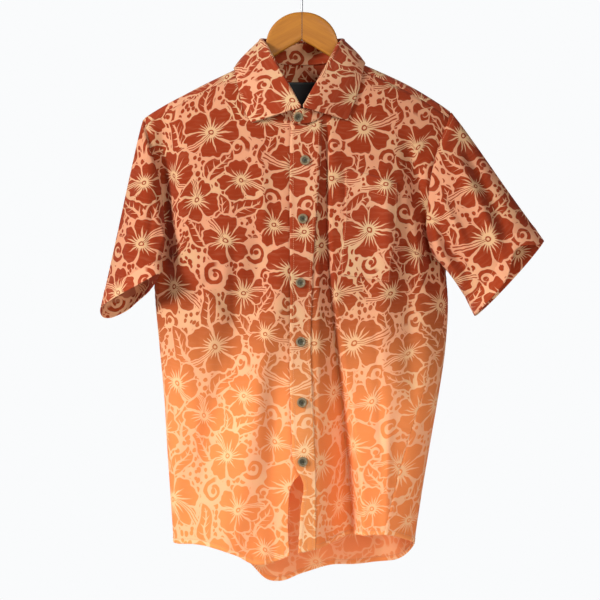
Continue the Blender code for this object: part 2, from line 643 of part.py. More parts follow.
def collar(material):
    """The collar's leaf: up from the stand, over the roll line and down to its free edge."""
    station = np.linspace(0, LAST, STATIONS)
    line, out = roll_line(station), away(roll_line(station))
    rows = [line + outward * out + (0, 0, below) for outward, below in ROLL_ROWS]
    first, last = rows.pop(), leaf_edge(station)
    for part in np.linspace(0, 1, LEAF_ROWS):
        bow = np.sin(np.pi * part) * LEAF_BOW
        rows.append(first + (last - first) * part + bow * out)
    net = np.stack(rows, 1)
    wall("collar", net, -net_normals(net), BAND, material)


def neck_seam(station):
    """Points of the neck seam for the collar's stations."""
    turn = np.radians(smooth(station, np.arange(LAST + 1), NECK_TURN))
    x = NECK_WIDTH * np.sin(turn)
    cosine = np.cos(turn)
    drop = NECK_SIDE + np.where(cosine > 0, NECK_FRONT - NECK_SIDE, NECK_SIDE - NECK_BACK) * cosine
    way = np.sqrt(2 * RIDGE_RADIUS * np.maximum(drop - ridge(x), 0))
    points = section(x, drop, -np.sign(cosine) * way)
    points[:, 1] -= 3 * LAP * near_end(station) - LAP * near_end(LAST - station)
    points[:, 2] -= STAND_LIFT * (1 - 1.15 * near_end(station))
    return points


def collar_stand(material):
    """The stand: a band from the neck seam up to the roll, its left end lapped over its right."""
    ends = np.array([-1, -0.5])
    station = np.concatenate([ends, np.linspace(0, LAST, STATIONS), LAST - ends[::-1]])
    held = np.clip(station, 0, LAST)
    past = station - held
    line = roll_line(held)
    top = line - STAND_UNDER[0] * away(line) + (0, 0, STAND_UNDER[1])
    foot = neck_seam(held)
    for row in (top, foot):
        row[:, 0] += STAND_END[0] * past
    top[:, 2] += STAND_END[1] * past ** 2
    part = np.linspace(0, 1, 4)[None, :, None]
    net = top[:, None] + (foot - top)[:, None] * part
    normals = facing_out(net, net_normals(net))
    wall("collar_stand", net, normals, BAND, material, flip=True)
    return net, normals


def placket(points, normals, shift, material):
    """The button-hole band, laid on the left front's first columns."""
    lift = shift + CLOTH + SEAM
    net = points[:3].copy()
    net[:, 0] += (net[:, 1] - net[:, 0]) * PLACKET_TOP
    wall("placket", net, normals[:3], CLOTH, material, lift[:3], flip=True)


def pocket(points, normals, shift, material):
    """The patch pocket, laid on cells of the left front."""
    columns, rows = slice(*POCKET_COLUMNS), slice(*POCKET_ROWS)
    lift = (shift + CLOTH + SEAM)[columns, rows]
    wall("pocket", points[columns, rows], normals[columns, rows], CLOTH, material, lift, flip=True)


def neck_label(material):
    """The plain woven label inside the yoke, below the neck seam."""
    across = np.linspace(-1, 1, 9) * LABEL["width"] / 2
    drops = LABEL["top"] + np.linspace(0, 1, 5) * LABEL["height"]
    x, drop = np.meshgrid(across, drops, indexing="ij")
    over = np.sqrt(2 * RIDGE_RADIUS * (drop - ridge(x)))
    points, normals = laid_out(over_shoulder, np.stack([x, over], -1), OVER_STEPS)
    wall("neck_label", points, normals, LABEL["thickness"], material, -LABEL["inside"])


def round_solid(name, profile, centre, axis, sides, material):
    """A turned piece: rings of a radius and a height along an axis, closed at both ends."""
    axis = axis / np.linalg.norm(axis)
    first = np.cross(axis, (0, 0, 1.0))
    first /= np.linalg.norm(first)
    second = np.cross(axis, first)
    turn = np.linspace(0, LOOP, sides, endpoint=False)
    ring = np.cos(turn)[:, None] * first + np.sin(turn)[:, None] * second
    rings = [centre + radius * ring + height * axis for radius, height in profile]
    closed_tube(name, np.stack(rings, 1), material, flip=True)


def closed_tube(name, net, material, flip=False):
    """A closed solid from rings, with a fan of triangles over each end."""
    sides, count = net.shape[:2]
    points = np.concatenate([net.reshape(-1, 3), [net[:, 0].mean(0), net[:, -1].mean(0)]])
    around = np.arange(sides)
    following = (around + 1) % sides
    near = np.stack([around * count, np.full(sides, sides * count), following * count], 1)
    far = np.stack([around * count + count - 1, following * count + count - 1,
                    np.full(sides, sides * count + 1)], 1)
    faces = np.concatenate([grid_faces(sides, count, True), near, far])
    return add_object(name, points, faces[:, ::-1] if flip else faces, material)


def button(name, centre, axis, material):
    """A flat sew-through button with a raised rim and a dished middle."""
    round_solid(name, BUTTON_RINGS, centre, axis, BUTTON_SIDES, material)


def buttons(points, normals, shift, stand, stand_normals, material):
    """One button on the stand's lapped end, then six down the placket."""
    axis = stand_normals[2, 1:3].mean(0)
    centre = stand[2, 1:3].mean(0) + (BAND / 2 + BUTTON_GAP) * axis
    button("button_1", centre, axis, material)
    line, out = points[1], normals[1]
    height = shift[1] + 1.5 * CLOTH + SEAM + BUTTON_GAP
    for number, (x, drop) in enumerate(BUTTONS, start=2):
        place = np.array([np.interp(drop, line[:, 2], line[:, k]) for k in range(3)])
        axis = np.array([np.interp(drop, line[:, 2], out[:, k]) for k in range(3)])
        lift = np.interp(drop, line[:, 2], height)
        place[0] = x
        button("button_%d" % number, place + lift * axis, axis, material)


def hanger_half(side, material):
    """Half of the hanger: blunt oval sections from the middle to the arm's end."""
    turn = np.linspace(0, LOOP, HANGER_SIDES, endpoint=False)
    cosine, sine = np.cos(turn), np.sin(turn)
    y = HANGER_HALF * np.sign(cosine) * np.sqrt(np.abs(cosine))
    height = np.sign(sine) * np.sqrt(np.abs(sine))
    thinner, start, length = HANGER_SLIM
    rings = []
    for x, top, under in zip(HANGER["x"], HANGER["top"], HANGER["under"]):
        slim = 1 - thinner * ramp((x - start) / length)
        drop = (top + under) / 2 + (under - top) / 2 * height
        rings.append(np.stack([np.full(HANGER_SIDES, SIGN[side] * x), y * slim, drop], 1))
    closed_tube("hanger_" + side, np.stack(rings, 1), material, flip=side == "left")


def hook(material):
    """The wire: straight up from the crown, out and over in an open ring."""
    radius = HOOK_RADIUS + WIRE_RADIUS
    turn = np.radians(np.linspace(*HOOK_TURN, 20))
    height = HOOK_RISE - HOOK_RADIUS + radius * np.sin(turn)
    ring = np.stack([radius * np.cos(turn), height], 1)
    path = np.concatenate([SHANK, ring])
    path = np.stack([path[:, 0], np.zeros(len(path)), -path[:, 1]], 1)
    along = np.gradient(path, axis=0)
    along /= np.linalg.norm(along, axis=1, keepdims=True)
    side = np.array([0, 1.0, 0])
    across = np.cross(along, side)
    turn = np.linspace(0, LOOP, WIRE_SIDES, endpoint=False)[:, None, None]
    net = path[None] + WIRE_RADIUS * (np.cos(turn) * side + np.sin(turn) * across[None])
    closed_tube("hook", net, material, flip=True)


def materials():
    """One Principled material for each finish: colour, roughness and metallic value."""
    made = {}
    for name, (colour, roughness, metallic) in MATERIALS.items():
        material = bpy.data.materials.new(name)
        material.use_nodes = True
        shader = material.node_tree.nodes["Principled BSDF"]
        shader.inputs["Base Color"].default_value = colour
        shader.inputs["Roughness"].default_value = roughness
        shader.inputs["Metallic"].default_value = metallic
        made[name] = material
    return made


def main():
    """Build the shirt, then the hanger that holds it."""
    clear_scene()
    made = materials()
    cotton = made["printed_cotton"]
    points, normals, shift = front("left", cotton)
    front("right", cotton)
    back(cotton)
    yoke(cotton)
    for side in ("left", "right"):
        sleeve(side, cotton)
        hanger_half(side, made["varnished_wood"])
    collar(cotton)
    stand, stand_normals = collar_stand(cotton)
    placket(points, normals, shift, cotton)
    pocket(points, normals, shift, cotton)
    neck_label(made["black_label"])
    buttons(points, normals, shift, stand, stand_normals, made["coconut_shell"])
    hook(made["steel_wire"])


main()
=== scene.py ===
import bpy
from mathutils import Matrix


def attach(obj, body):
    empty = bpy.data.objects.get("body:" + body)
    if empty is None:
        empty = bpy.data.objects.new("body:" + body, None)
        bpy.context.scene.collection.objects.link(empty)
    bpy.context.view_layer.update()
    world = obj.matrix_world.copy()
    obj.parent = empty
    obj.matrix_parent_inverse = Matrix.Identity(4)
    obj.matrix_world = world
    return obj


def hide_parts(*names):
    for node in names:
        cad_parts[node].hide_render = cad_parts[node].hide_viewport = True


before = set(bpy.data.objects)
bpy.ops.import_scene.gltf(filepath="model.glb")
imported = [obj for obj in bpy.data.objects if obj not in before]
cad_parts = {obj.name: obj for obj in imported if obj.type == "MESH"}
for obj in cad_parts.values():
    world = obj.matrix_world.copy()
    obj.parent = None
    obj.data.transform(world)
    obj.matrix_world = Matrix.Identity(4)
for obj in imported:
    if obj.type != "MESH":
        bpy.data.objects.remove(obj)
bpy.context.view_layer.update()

from collections import namedtuple
from functools import partialmethod
import bpy
import numpy as np
from mathutils import Vector

# Looks of a short-sleeved aloha shirt on a wooden hanger. The cloth's points come from the hanging
# form that the solids have, worked out again on finer nets, with its creases, hems, puckers and
# stitching. Tables are in millimetres: x to the wearer's left, y to the wearer's back, and drop down
# from the hanger's crown. Girth runs round the body: 0 centre front, 1 left side, 2 centre back, 3
# right side. Over is the way over the shoulder's ridge, minus in front and plus behind.

MM = 0.001
XYZ = (0, 1, 2)
LOOP = 2 * np.pi
SIGN = {"left": 1, "right": -1}
HOOK_RISE = 85.0            # hanger's crown up to the inside of the hook, which is the origin

# Walls.
CLOTH = 1.0                 # thickness of the cotton's wall
BAND, BAND_LESS = 1.5, 0.25         # thickness of the interlined collar pieces, less away from stitches
LAYER = 1.5                 # a patch's middle above the middle of the panel that it lies on
TURNED = 0.5                # a wall this much thicker is a turned hem of three layers
SEAM_IN = 0.16              # what each panel's edge gives up at a seam
SHARP = 50                  # degrees: edges of wood, wire and shell that turn more than this stay sharp
RIM = 0.8                   # how far a wall's rounded rim stands out, as a share of half the wall
HEM_WIDTH, HEM_MORE = 6.5, 0.9      # turned hem of the body, and how much it adds to the wall
CUFF_WIDTH, CUFF_MORE = 24.0, 0.5   # the same for the sleeves' cuffs
# Rows of stitches, from the edge of the collar and the placket, the pocket's edge and its turned top,
# and the armhole's seam.
EDGE_STITCH, POCKET_STITCH, POCKET_TOP, ARMHOLE_STITCH = 5.0, 2.0, 25.0, 9.0

# The body's own form.
RIDGE_RADIUS = 13.0         # roundness of the shoulder where it lies over the hanger
BLUNT = 2.5                 # how full the body's sections are, 2 being an ellipse
YOKE_FRONT = 12.0           # front yoke seam, below the shoulder's ridge
YOKE_BACK = 172.0           # drop of the back yoke seam at the centre
YOKE_SLOPE = 22.0           # how much lower that seam is at the armholes
NECK_WIDTH = 64.0           # half width of the neck seam, then its drops
NECK_SIDE = 64.0
NECK_FRONT = 172.0
NECK_BACK = 74.0
LAP = 2.0                   # how far the two fronts stand apart where they overlap
LAP_REACH = 45.0            # and how far from the centre line that dies away

# Nets.
FINE = 7                    # net cells here for one of the solid's
ROWS_ABOVE, ROWS_BELOW = 9, 17      # the solid's rows beside an armhole, and below it
YOKE_ROWS, YOKE_SHOULDER, YOKE_NECK = 8, 8, 13
POCKET_COLUMNS, POCKET_ROWS = (5, 9), (4, 10)       # the left front's lines that the pocket lies between
COLUMNS = {"left": (2, 3, 4, 6), "right": (4, 4, 7), "back": (6, 12, 6)}
OVER_STEPS = (0.5, 0.5)     # small steps in x and over that give the shoulder's normals
CORNER = 0.995              # the neck seam ends at this share of its own half width
NET_LEVEL = 130.0           # drop at which a front's top row takes its x from its girths
FOLD_ENDS = (0.3, 0.12)     # shares of a fold's length over which it grows and dies out
UNDERARM_CLOSE = 0.55       # how much closer together the rows are at the underarm
SLEEVE_ROWS = 92
COLLAR_COLUMNS = 225        # net lines round the neck, and down the roll, the leaf and the stand
ROLL_LINES, LEAF_LINES, STAND_LINES = 16, 34, 18
STAND_PAST = 14             # net lines of each end of the stand, past the centre front

# Collar, stand, buttons and placket.
NECK_CENTRE = 8.0           # the neck's middle lies this far in front of the hanger
STAND_LIFT = 2.9            # the stand's foot above the neck seam
STAND_UNDER = (3.0, 4.9)    # the stand's top inside the roll line, inwards and down
STAND_END = (14.0, 5.0)     # the stand's lapped end past the centre, and how far it curves down
STAND_TUCK = (1.6, 4.5)     # the stand's foot goes on inside the yoke, inwards and down
LEAF_CLEAR = 3.0            # the leaf's free edge above the body
LEAF_BOW = 3.0              # how far the leaf bows out between the roll and its edge
BUTTON_GAP = 0.8            # air between a button and the cloth
PLACKET_TOP = 0.13          # share of its first column that the placket gives up under the collar

# Hanger and hook.
WIRE_RADIUS, HOOK_RADIUS = 1.5, 20.0
HOOK_TURN = (-62, 188)      # degrees, where the ring of the hook starts and ends
HANGER_HALF = 6.0           # half the hanger's depth
HANGER_SECTIONS = 113       # along each of its arms
HANGER_SLIM = (0.35, 200, 18)       # slimmer by this share beyond this x, over this length

# The body by its drop: where its outline stands left and right, and how deep it is.
BODY = {
    "drop": (0, 150, 230, 300, 385, 430, 500, 582, 642, 732, 795, 880),
    "low_x": (-247, -244, -234, -227, -222, -219.5, -213, -205.5, -202, -196, -192, -189),
    "high_x": (239, 236, 223, 217, 214.5, 218, 214.5, 202.5, 192, 177, 168, 162),
    "front": (56, 58, 60, 64, 68, 70, 72, 72, 70, 66, 62, 60),
    "back": (50, 50, 54, 58, 62, 64, 66, 66, 65, 62, 60, 58),
}
# The shoulder lies over the hanger: drop of its ridge.
RIDGE = {
    "x": (-262, -236, -165, -98, -60, 0, 60, 93, 178, 222, 250),
    "drop": (181, 160, 119, 86, 68, 44, 66, 80, 121, 150, 173),
}
# The armhole by the share of its height: how far inside the outline its front and back edges lie.
ARMHOLE = {
    "share": (0, 0.25, 0.55, 0.8, 0.93, 1),
    "left_front": (14, 25, 27, 24, 14, 0),
    "left_back": (14, 20, 21, 18, 11, 0),
    "right_front": (7, 11, 13, 13, 9, 0),
    "right_back": (7, 10, 12, 12, 8, 0),
}
ARM_TOP = {"left": 150.0, "right": 160.0}
ARM_FOOT = {"left": 385.0, "right": 385.0}
# Girths of the side seams.
SIDE_SEAM = {
    "drop": (385, 460, 546, 661, 800, 880),
    "left": (1.0, 0.84, 0.70, 0.585, 0.51, 0.50),
    "right": (3.0, 2.97, 2.93, 2.88, 2.85, 2.84),
}
# The curved hem, from the left side round the front, the right side and the back.
HEM = {
    "girth": (-1.15, -1.0, -0.8, -0.5, -0.3, -0.22, -0.15, 0, 0.15, 0.3, 0.51, 0.75, 1, 1.3, 1.6,
              1.8, 1.95, 2.07, 2.15, 2.25, 2.35, 2.5, 2.75, 3.0, 3.2),
    "drop": (800, 796, 794, 794, 807, 818, 819, 804, 794, 781, 776, 786, 798, 825, 834,
             838, 851, 864, 860, 834, 816, 805, 799, 796, 794),
}
# Lines of the overlap in front: the placket's edge and seam, and the edge of the front under it.
PLACKET = {
    "drop": (172, 275, 370, 550, 628, 677, 698, 737, 806),
    "edge": (-17, -18.5, -17.5, -17.5, -14.5, -10, 1, -1.5, -6),
    "seam": (27, 23, 17, 13, 16, 18, 18.5, 19, 20),
    "under": (12, 12, 12, 12, 10, 4, -14, -20, -19),
}
# Lines that the nets follow: beside the pocket, and down the right front and the back.
GUIDES = {
    "drop": (172, 282, 407, 550, 800),
    "pocket_near": (62, 62, 62, 56, 46),
    "pocket_far": (132, 137, 135, 116, 86),
    "right_near": (-62, -62, -62, -60, -58),
    "right_far": (-130, -132, -132, -128, -118),
    "back_left": (130, 130, 130, 120, 100),
    "back_right": (-130, -130, -130, -125, -115),
}
# Folds and creases: face (1 front, -1 back), the line's top and foot as x and drop, half width, how
# far it stands out. The wide ones give the hanging its main shape, and most are in the solids too.
FOLDS = (
    (1, 62, 330, 50, 960, 22, -6), (1, 122, 190, 124, 960, 22, 7), (1, 150, 230, 165, 600, 14, -6),
    (1, -15, 290, -118, 860, 24, 9), (1, -45, 290, -178, 800, 28, -16), (1, -185, 420, -200, 920, 16, 8),
    (1, 192, 330, 180, 960, 42, 15), (1, -45, 420, -38, 960, 15, -5), (-1, -20, 250, -25, 1000, 24, 9),
    (-1, 60, 330, 75, 1000, 22, -9), (-1, -110, 260, -120, 1000, 26, -8), (-1, 130, 380, 120, 1000, 18, 7),
    # Creases.
    (1, -207, 130, -203, 450, 15, -32), (1, 150, 170, 206, 440, 12, -17), (1, 120, 190, 132, 420, 10, 3),
    (1, 184, 270, 187, 420, 8, -7), (1, 190, 180, 150, 330, 7, -2.4), (1, 178, 200, 138, 360, 8, 2.0),
    (1, 168, 330, 200, 420, 7, 2.2), (1, 150, 360, 196, 470, 8, -2.2), (1, -205, 190, -165, 330, 8, 2.4),
    (1, -212, 240, -178, 380, 7, -2.2), (1, -190, 420, -150, 640, 9, 1.8),
    (1, -168, 380, -140, 560, 7, -1.6), (1, -110, 480, -112, 860, 6, 1.6), (1, -60, 200, -52, 430, 8, 2.5),
    (1, -100, 330, -98, 470, 9, -4.0), (1, -150, 400, -110, 470, 10, 4.0),
    (1, -185, 470, -120, 380, 9, -4.0),
    (1, 105, 420, 118, 700, 6, -2.0), (1, 128, 560, 120, 880, 6, 1.8), (1, -160, 620, -150, 880, 8, 2.0),
    (1, 45, 190, 62, 330, 7, 1.6), (-1, 150, 210, 120, 420, 8, 2.2), (-1, -160, 200, -130, 440, 8, 2.4),
    (-1, 20, 420, 26, 860, 6, -2.0), (-1, -60, 360, -70, 820, 7, 2.2), (-1, 95, 520, 100, 900, 6, -1.8),
    (-1, -150, 520, -140, 860, 7, -2.0), (-1, 170, 420, 140, 640, 8, 1.8),
    (-1, -190, 400, -160, 600, 8, 1.8),
)
# Soft unevenness of hanging cloth: waves by their lengths across and down, how high, and their phase.
WAVES = ((46, 310, 0.55, 0.4), (73, 240, 0.7, 2.1), (29, 170, 0.25, 4.0), (118, 95, 0.45, 1.2),
         (61, 520, 0.6, 5.1))
# Beside the button band the cloth falls away over a way that widens downwards, then turns forward
# again within a share of it.
PLEAT = {"x": 24, "top": 150, "start": 300, "foot": 800, "narrow": 13, "wide": 50, "slope": 0.95,
         "back": 0.35, "soft": 0.06}
# The collar by its stations from centre front round the wearer's left to the centre back: the line
# where it rolls over, the leaf's free edge, and the degrees round the neck seam.
ROLL = {
    "x": (2, 15, 29.5, 43.5, 54.5, 61.5, 53, 31, 0),
    "y": (-59, -53, -44, -31, -15, 4, 23, 35, 39),
    "drop": (147, 123, 98, 72, 50, 40, 37, 37, 37),
}
LEAF_EDGE = {
    "left_x": (67, 75, 83, 88, 91.5, 93, 86, 48, 0),
    "left_over": (-50.7, -43.8, -35.4, -25, -13, 0, 21, 36, 36),
    "right_x": (74, 84, 91, 96, 99, 100, 90, 50, 0),
    "right_over": (-50, -44, -35.3, -24.3, -12, 0, 21, 36, 36),
}
NECK_TURN = (0, 18, 36, 55, 72, 90, 120, 152, 180, 208, 240, 270, 288, 305, 324, 342, 360)
LAST = 16                   # the last station, round at the centre front again
# Rows over the roll: how far out of its line and below it.
ROLL_ROWS = ((-3.0, 3.0), (-2.1, 0.9), (0, 0), (2.1, 0.9), (3.2, 3.4))
# The label: how thick its folded ends are, how much of that the fold is and how wide, and how far it
# lies inside the yoke.
LABEL = {"width": 66, "top": 101, "height": 45, "thickness": 0.8, "fold": 0.3, "folded": 6,
         "inside": 2.0}
# A sleeve's own form: how it leaves the armhole, rolls over the seam and tucks in under it. Places
# round it are in turns from the underarm, first down the front, widths in radians.
SLEEVE = {"clear": 2.3, "lean": 4.0, "full": 0.16, "in_front": 6, "in_low": 5, "forward": 12,
          "forward_low": 14, "down_low": 8, "low_turn": 0.355, "low_width": 0.38,
          "under_turn": 0.48, "under_width": 0.5, "rise_turn": 0.18, "rise_width": 0.36,
          "tuck": 1.8, "tuck_in": 1.0, "sink": 1.2, "side_print": 0.6, "wave": 0.35,
          "full_head": 7, "head_turn": 0.26, "head_width": 0.13, "head_at": 15, "head_reach": 9}
# The mouth of each sleeve, an oval: its centre and half axes, and how it dips, turns and swings.
MOUTH = {
    "left": {"centre": (306.5, -34, 399), "outward": (51.5, 6, -54), "forward": (0, -50, -4),
             "dip": 10, "turn": 0.25, "swing": 11, "rise": 0.11},
    "right": {"centre": (-254.5, -20, 416), "outward": (-46, 22, 24), "forward": (20, -58, -9),
              "dip": 27, "turn": 0.45, "swing": 15, "rise": 0.0},
}
# Creases of the sleeves: place round the armhole in turns and place down the sleeve as a share, at
# the start and at the end (turn, way, to_turn, to_way), half width and how far each stands out.
SLEEVE_CREASES = {
    "left": ((0.130, 0.08, 0.225, 0.99, 9, 7.0), (0.085, 0.10, 0.180, 0.99, 9, -6.5),
             (0.285, 0.03, 0.345, 0.80, 8, -8.0), (0.33, 0.08, 0.38, 0.80, 8, 4.5),
             (0.23, 0.05, 0.285, 0.60, 7, 5.0), (0.66, 0.10, 0.62, 0.80, 9, 2.6),
             (0.78, 0.15, 0.80, 0.90, 10, -2.4), (0.90, 0.20, 0.92, 0.85, 9, 2.0)),
    "right": ((0.12, 0.20, 0.14, 0.95, 8, 2.4), (0.22, 0.10, 0.24, 0.90, 9, -3.0),
              (0.32, 0.05, 0.30, 0.85, 8, 2.8), (0.40, 0.15, 0.38, 0.70, 7, -2.2),
              (0.66, 0.10, 0.64, 0.85, 9, 2.4), (0.80, 0.15, 0.78, 0.80, 10, -2.2)),
}
SLEEVE_WAVES = ((5, 0.21), (6, 0.13), (7, 0.31))    # waves round a sleeve, and their slant down it
# Half of the hanger: its top and underside by x.
HANGER = {
    "x": (0.03, 12, 24, 36, 44.5, 50, 53.3, 54.8, 57, 66, 92, 165, 200, 212, 216),
    "top": (0, 1.2, 5, 12.5, 21.5, 31, 42, 58, 74, 81, 92.5, 126, 146.5, 155.5, 160),
    "under": (42, 49, 56, 63.5, 69, 72.5, 75, 80, 85, 91, 110, 151, 170, 174, 171),
}
# The hook's wire from the crown up, as x and rise.
SHANK = ((0, 0.4), (0, 12), (0, 24), (0, 33), (2.2, 39))
# Buttons on the placket: x and drop.
BUTTONS = ((4.5, 227.5), (1.5, 313.5), (-2.5, 407), (-2.5, 493), (0.0, 581), (1.0, 667))
# A button's turned profile from the middle of its top to the middle of its back: radius and height.
BUTTON_PROFILE = (
    (0.01, 1.3), (1.2, 1.32), (2.4, 1.36), (3.4, 1.5), (4.1, 1.9), (4.6, 2.35), (5.2, 2.55), (6.1, 2.62),
    (6.7, 2.5), (7.05, 2.15), (7.2, 1.6), (7.15, 0.9), (6.7, 0.35), (6.0, 0.05), (4.0, 0.0), (0.01, 0.0))
BUTTON_RINGS, TOP_RINGS = 76, 30
HOLES = {"number": 4, "out": 1.75, "radius": 1.05, "soft": 0.35, "deep": 1.15}
BUTTON_SPIN = 0.35          # radians that each button is sewn on turned further than the last
# Seams that pucker: the border and how far in from it, the border that the row is counted from,
# reach, pitch and phase. Then the heights of each piece's puckers, seam by seam.
SEAMS = {
    "panel": (("start", 0, "top", 9, 13, 0.3), ("finish", 0, "top", 11, 12, 1.9),
              ("top", 0, "start", 9, 12, 2.5), ("foot", HEM_WIDTH, "start", 7, 10, 0.9)),
    "sleeve": (("top", 0, "around", 9, 12, 0.7), ("foot", CUFF_WIDTH, "around", 6, 11, 1.5)),
    "collar": (("foot", EDGE_STITCH, "start", 5, 11, 0.4), ("start", EDGE_STITCH, "foot", 5, 10, 1.4),
               ("finish", EDGE_STITCH, "foot", 5, 10, 2.4)),
    "placket": (("start", EDGE_STITCH, "top", 5, 11, 0.8), ("finish", EDGE_STITCH, "top", 5, 12, 2.2)),
}
PUCKERS = {"front_left": (0.35, 1.0, 0.25, 0.45), "front_right": (0.1, 0.7, 0.25, 0.45),
           "back": (0.6, 0.6, 0.3, 0.45), "yoke": (0.2, 0.2, 0.15, 0.0), "sleeve": (0.5, 0.5),
           "collar": (0.28, 0.25, 0.25), "placket": (0.18, 0.18)}
STITCHED_MORE = {"collar": 0.3, "placket": 0.35, "pocket": 0.3}     # thicker as far in as the stitches
FOLDED_MORE = 0.6           # and at the placket's foot and the pocket's turned top

# The print: where each piece is cut from the repeat. The placket's doesn't match the front's.
PRINT_AT = {"front_left": (0, 0), "front_right": (95, 60), "back": (40, 20), "yoke": (0, 130),
            "sleeve_left": (30, 260), "sleeve_right": (170, 110), "collar": (60, 210),
            "collar_stand": (200, 40), "placket": (133, 71)}
REPEAT = (272, 318)                     # of the print, across and down
# Motifs of one repeat: x, y, half size and turn in degrees.
FLOWERS = ((28, -34, 45, 195), (112, -12, 42, 235), (190, -44, 36, 150), (70, -106, 34, 20),
           (150, -104, 33, 215), (232, -124, 43, 300), (18, -178, 37, 250), (104, -178, 44, 10),
           (186, -196, 34, 190), (252, -224, 34, 100), (56, -252, 42, 330), (136, -262, 34, 205),
           (210, -284, 38, 60))
LEAVES = ((72, -52, 29, 60), (154, -60, 28, 110), (244, -66, 29, 70), (112, -98, 25, 100),
          (190, -92, 28, 30), (62, -150, 28, 150), (146, -148, 28, 85), (12, -120, 29, 50),
          (218, -172, 29, 120), (96, -226, 27, 60), (176, -236, 29, 140), (8, -230, 28, 95),
          (96, -292, 28, 20), (252, -270, 27, 40), (12, -292, 28, 110), (214, -240, 25, 70))
CURLS = ((152, -20, 20, 30), (232, -18, 20, 200), (34, -88, 20, 90), (192, -146, 20, 300),
         (60, -204, 19, 150), (142, -222, 19, 20), (222, -242, 18, 240), (168, -302, 20, 110),
         (116, -60, 18, 60), (30, -218, 18, 10))
# Dip dye, by its drop, and the pieces that were dyed apart, with the share of it that they took.
DYE_TOP, DYE_FOOT = 380, 630
DYED = {"cloth_sleeve_left": 0.25, "cloth_sleeve_right": 0.25, "cloth_placket": 0.86}
WAVER = 5.0                 # how far the print's outlines waver
DOUBLED = ("cloth_collar", "cloth_collar_stand", "cloth_yoke")     # the inner layer is printed too
# Colours at the shoulders and at the hem, then the one that faded slubs go to, and by how much.
INK, GROUND, CREAM = ("#A03815", "#F89A55"), ("#E5A37C", "#FFC492"), ("#E2B98A", "#FFD09A")
FADED, FADE = "#F2B48A", 0.06
INK_SHORT = 0.3             # share of the ink that doesn't reach the inside of single cloth
THREADS_APART, THREAD_RELIEF = 1.3, 0.05
LIGHT_THROUGH = {"single": 0.35, "doubled": 0.06}
DOUBLED_SHADE = 0.8             # painted shade: share of its colour that doubled cloth keeps, so it looks no brighter than single cloth
HEM_HOLDS_BACK = 0.45       # share of the light through that a turned hem holds back

# Area lamps: place and side in metres, power in watts. Then the surround, as it is seen and as it
# lights: colour and strength.
LAMPS = (("key", (-3.1, -2.1, 0.8), 1.0, 190), ("front", (1.5, -3.5, 0.4), 2.2, 74),
         ("fill", (0.3, -2.4, -2.3), 1.5, 16), ("rear", (0.2, 2.6, 0.4), 2.4, 95))
BACKDROP, AMBIENT = ("#FAFBFC", 1.0), ("#F1F4F8", 0.1)
LAMPS_AIM = (0, 0, -0.5)
# The camera, in metres: how far in front, its x and height, and the frame's width at the shirt.
CAMERA = {"away": 2.4, "x": -0.003, "z": -0.517, "frame": 0.9, "sensor": 36}
FLOOR_RADIUS, FLOOR_DROP = 4.0, 1.8                 # metres


# ---------------------------------------------------------------- the hanging form

def smooth(at, xs, ys):
    """Cubic Hermite curve through a table's rows, with slopes from each row's neighbours."""
    at, xs, ys = np.asarray(at, float), np.asarray(xs, float), np.asarray(ys, float)
    slopes = np.gradient(ys, xs, axis=0)
    at = np.clip(at, xs[0], xs[-1])
    cell = np.clip(np.searchsorted(xs, at, side="right") - 1, 0, len(xs) - 2)
    span = xs[cell + 1] - xs[cell]
    t = (at - xs[cell]) / span
    t, span = (value.reshape(value.shape + (1,) * (ys.ndim - 1)) for value in (t, span))
    return ((1 + 2 * t) * (1 - t) ** 2 * ys[cell] + t * (1 - t) ** 2 * span * slopes[cell]
            + t * t * (3 - 2 * t) * ys[cell + 1] + t * t * (t - 1) * span * slopes[cell + 1])


def finer(rows, count):
    """A finer set of rows through a few given ones, evenly spaced in their number."""
    return smooth(np.linspace(0, len(rows) - 1, count), np.arange(len(rows)), rows)


def ramp(t):
    """Smooth step from 0 to 1."""
    t = np.clip(t, 0, 1)
    return t * t * (3 - 2 * t)


def unit(vectors):
    return vectors / np.linalg.norm(vectors, axis=-1, keepdims=True)


def body(name, drop):
    """One column of the body's table at these drops."""
    return smooth(drop, BODY["drop"], BODY[name])


def ridge(x):
    """Drop of the shoulder's ridge."""
    return smooth(x, RIDGE["x"], RIDGE["drop"])


def over_at(x, drop):
    """Way over the ridge at which the body has dropped this far, as over a round bar."""
    return np.sqrt(2 * RIDGE_RADIUS * np.maximum(drop - ridge(x), 0))


def fold_lift(x, drop, face):
    """How far folds stand out: for each line, lift * ends * exp(-(distance across / half width)^2).

    The pleat is taken off, and waves are added that grow from the shoulders down.
    """
    side = np.sign(face)
    lift = np.zeros(np.broadcast(x, drop).shape)
    for facing, top_x, top, foot_x, foot, width, out in FOLDS:
        along = (drop - top) / (foot - top)
        line = top_x + (foot_x - top_x) * along
        ends = ramp(along / FOLD_ENDS[0]) * ramp((1 - along) / FOLD_ENDS[1])
        lift = lift + np.where(side == facing, out * ends * np.exp(-((x - line) / width) ** 2), 0)
    lift = lift - np.where(side > 0, pleat(x, drop), 0)
    lower = ramp((drop - ridge(x) - 60) / 160)
    for wide, tall, high, phase in WAVES:
        lift = lift + lower * high * np.sin(x * LOOP / wide + side * phase) \
            * np.sin(drop * LOOP / tall + phase * 2 + x / wide)
    return lift


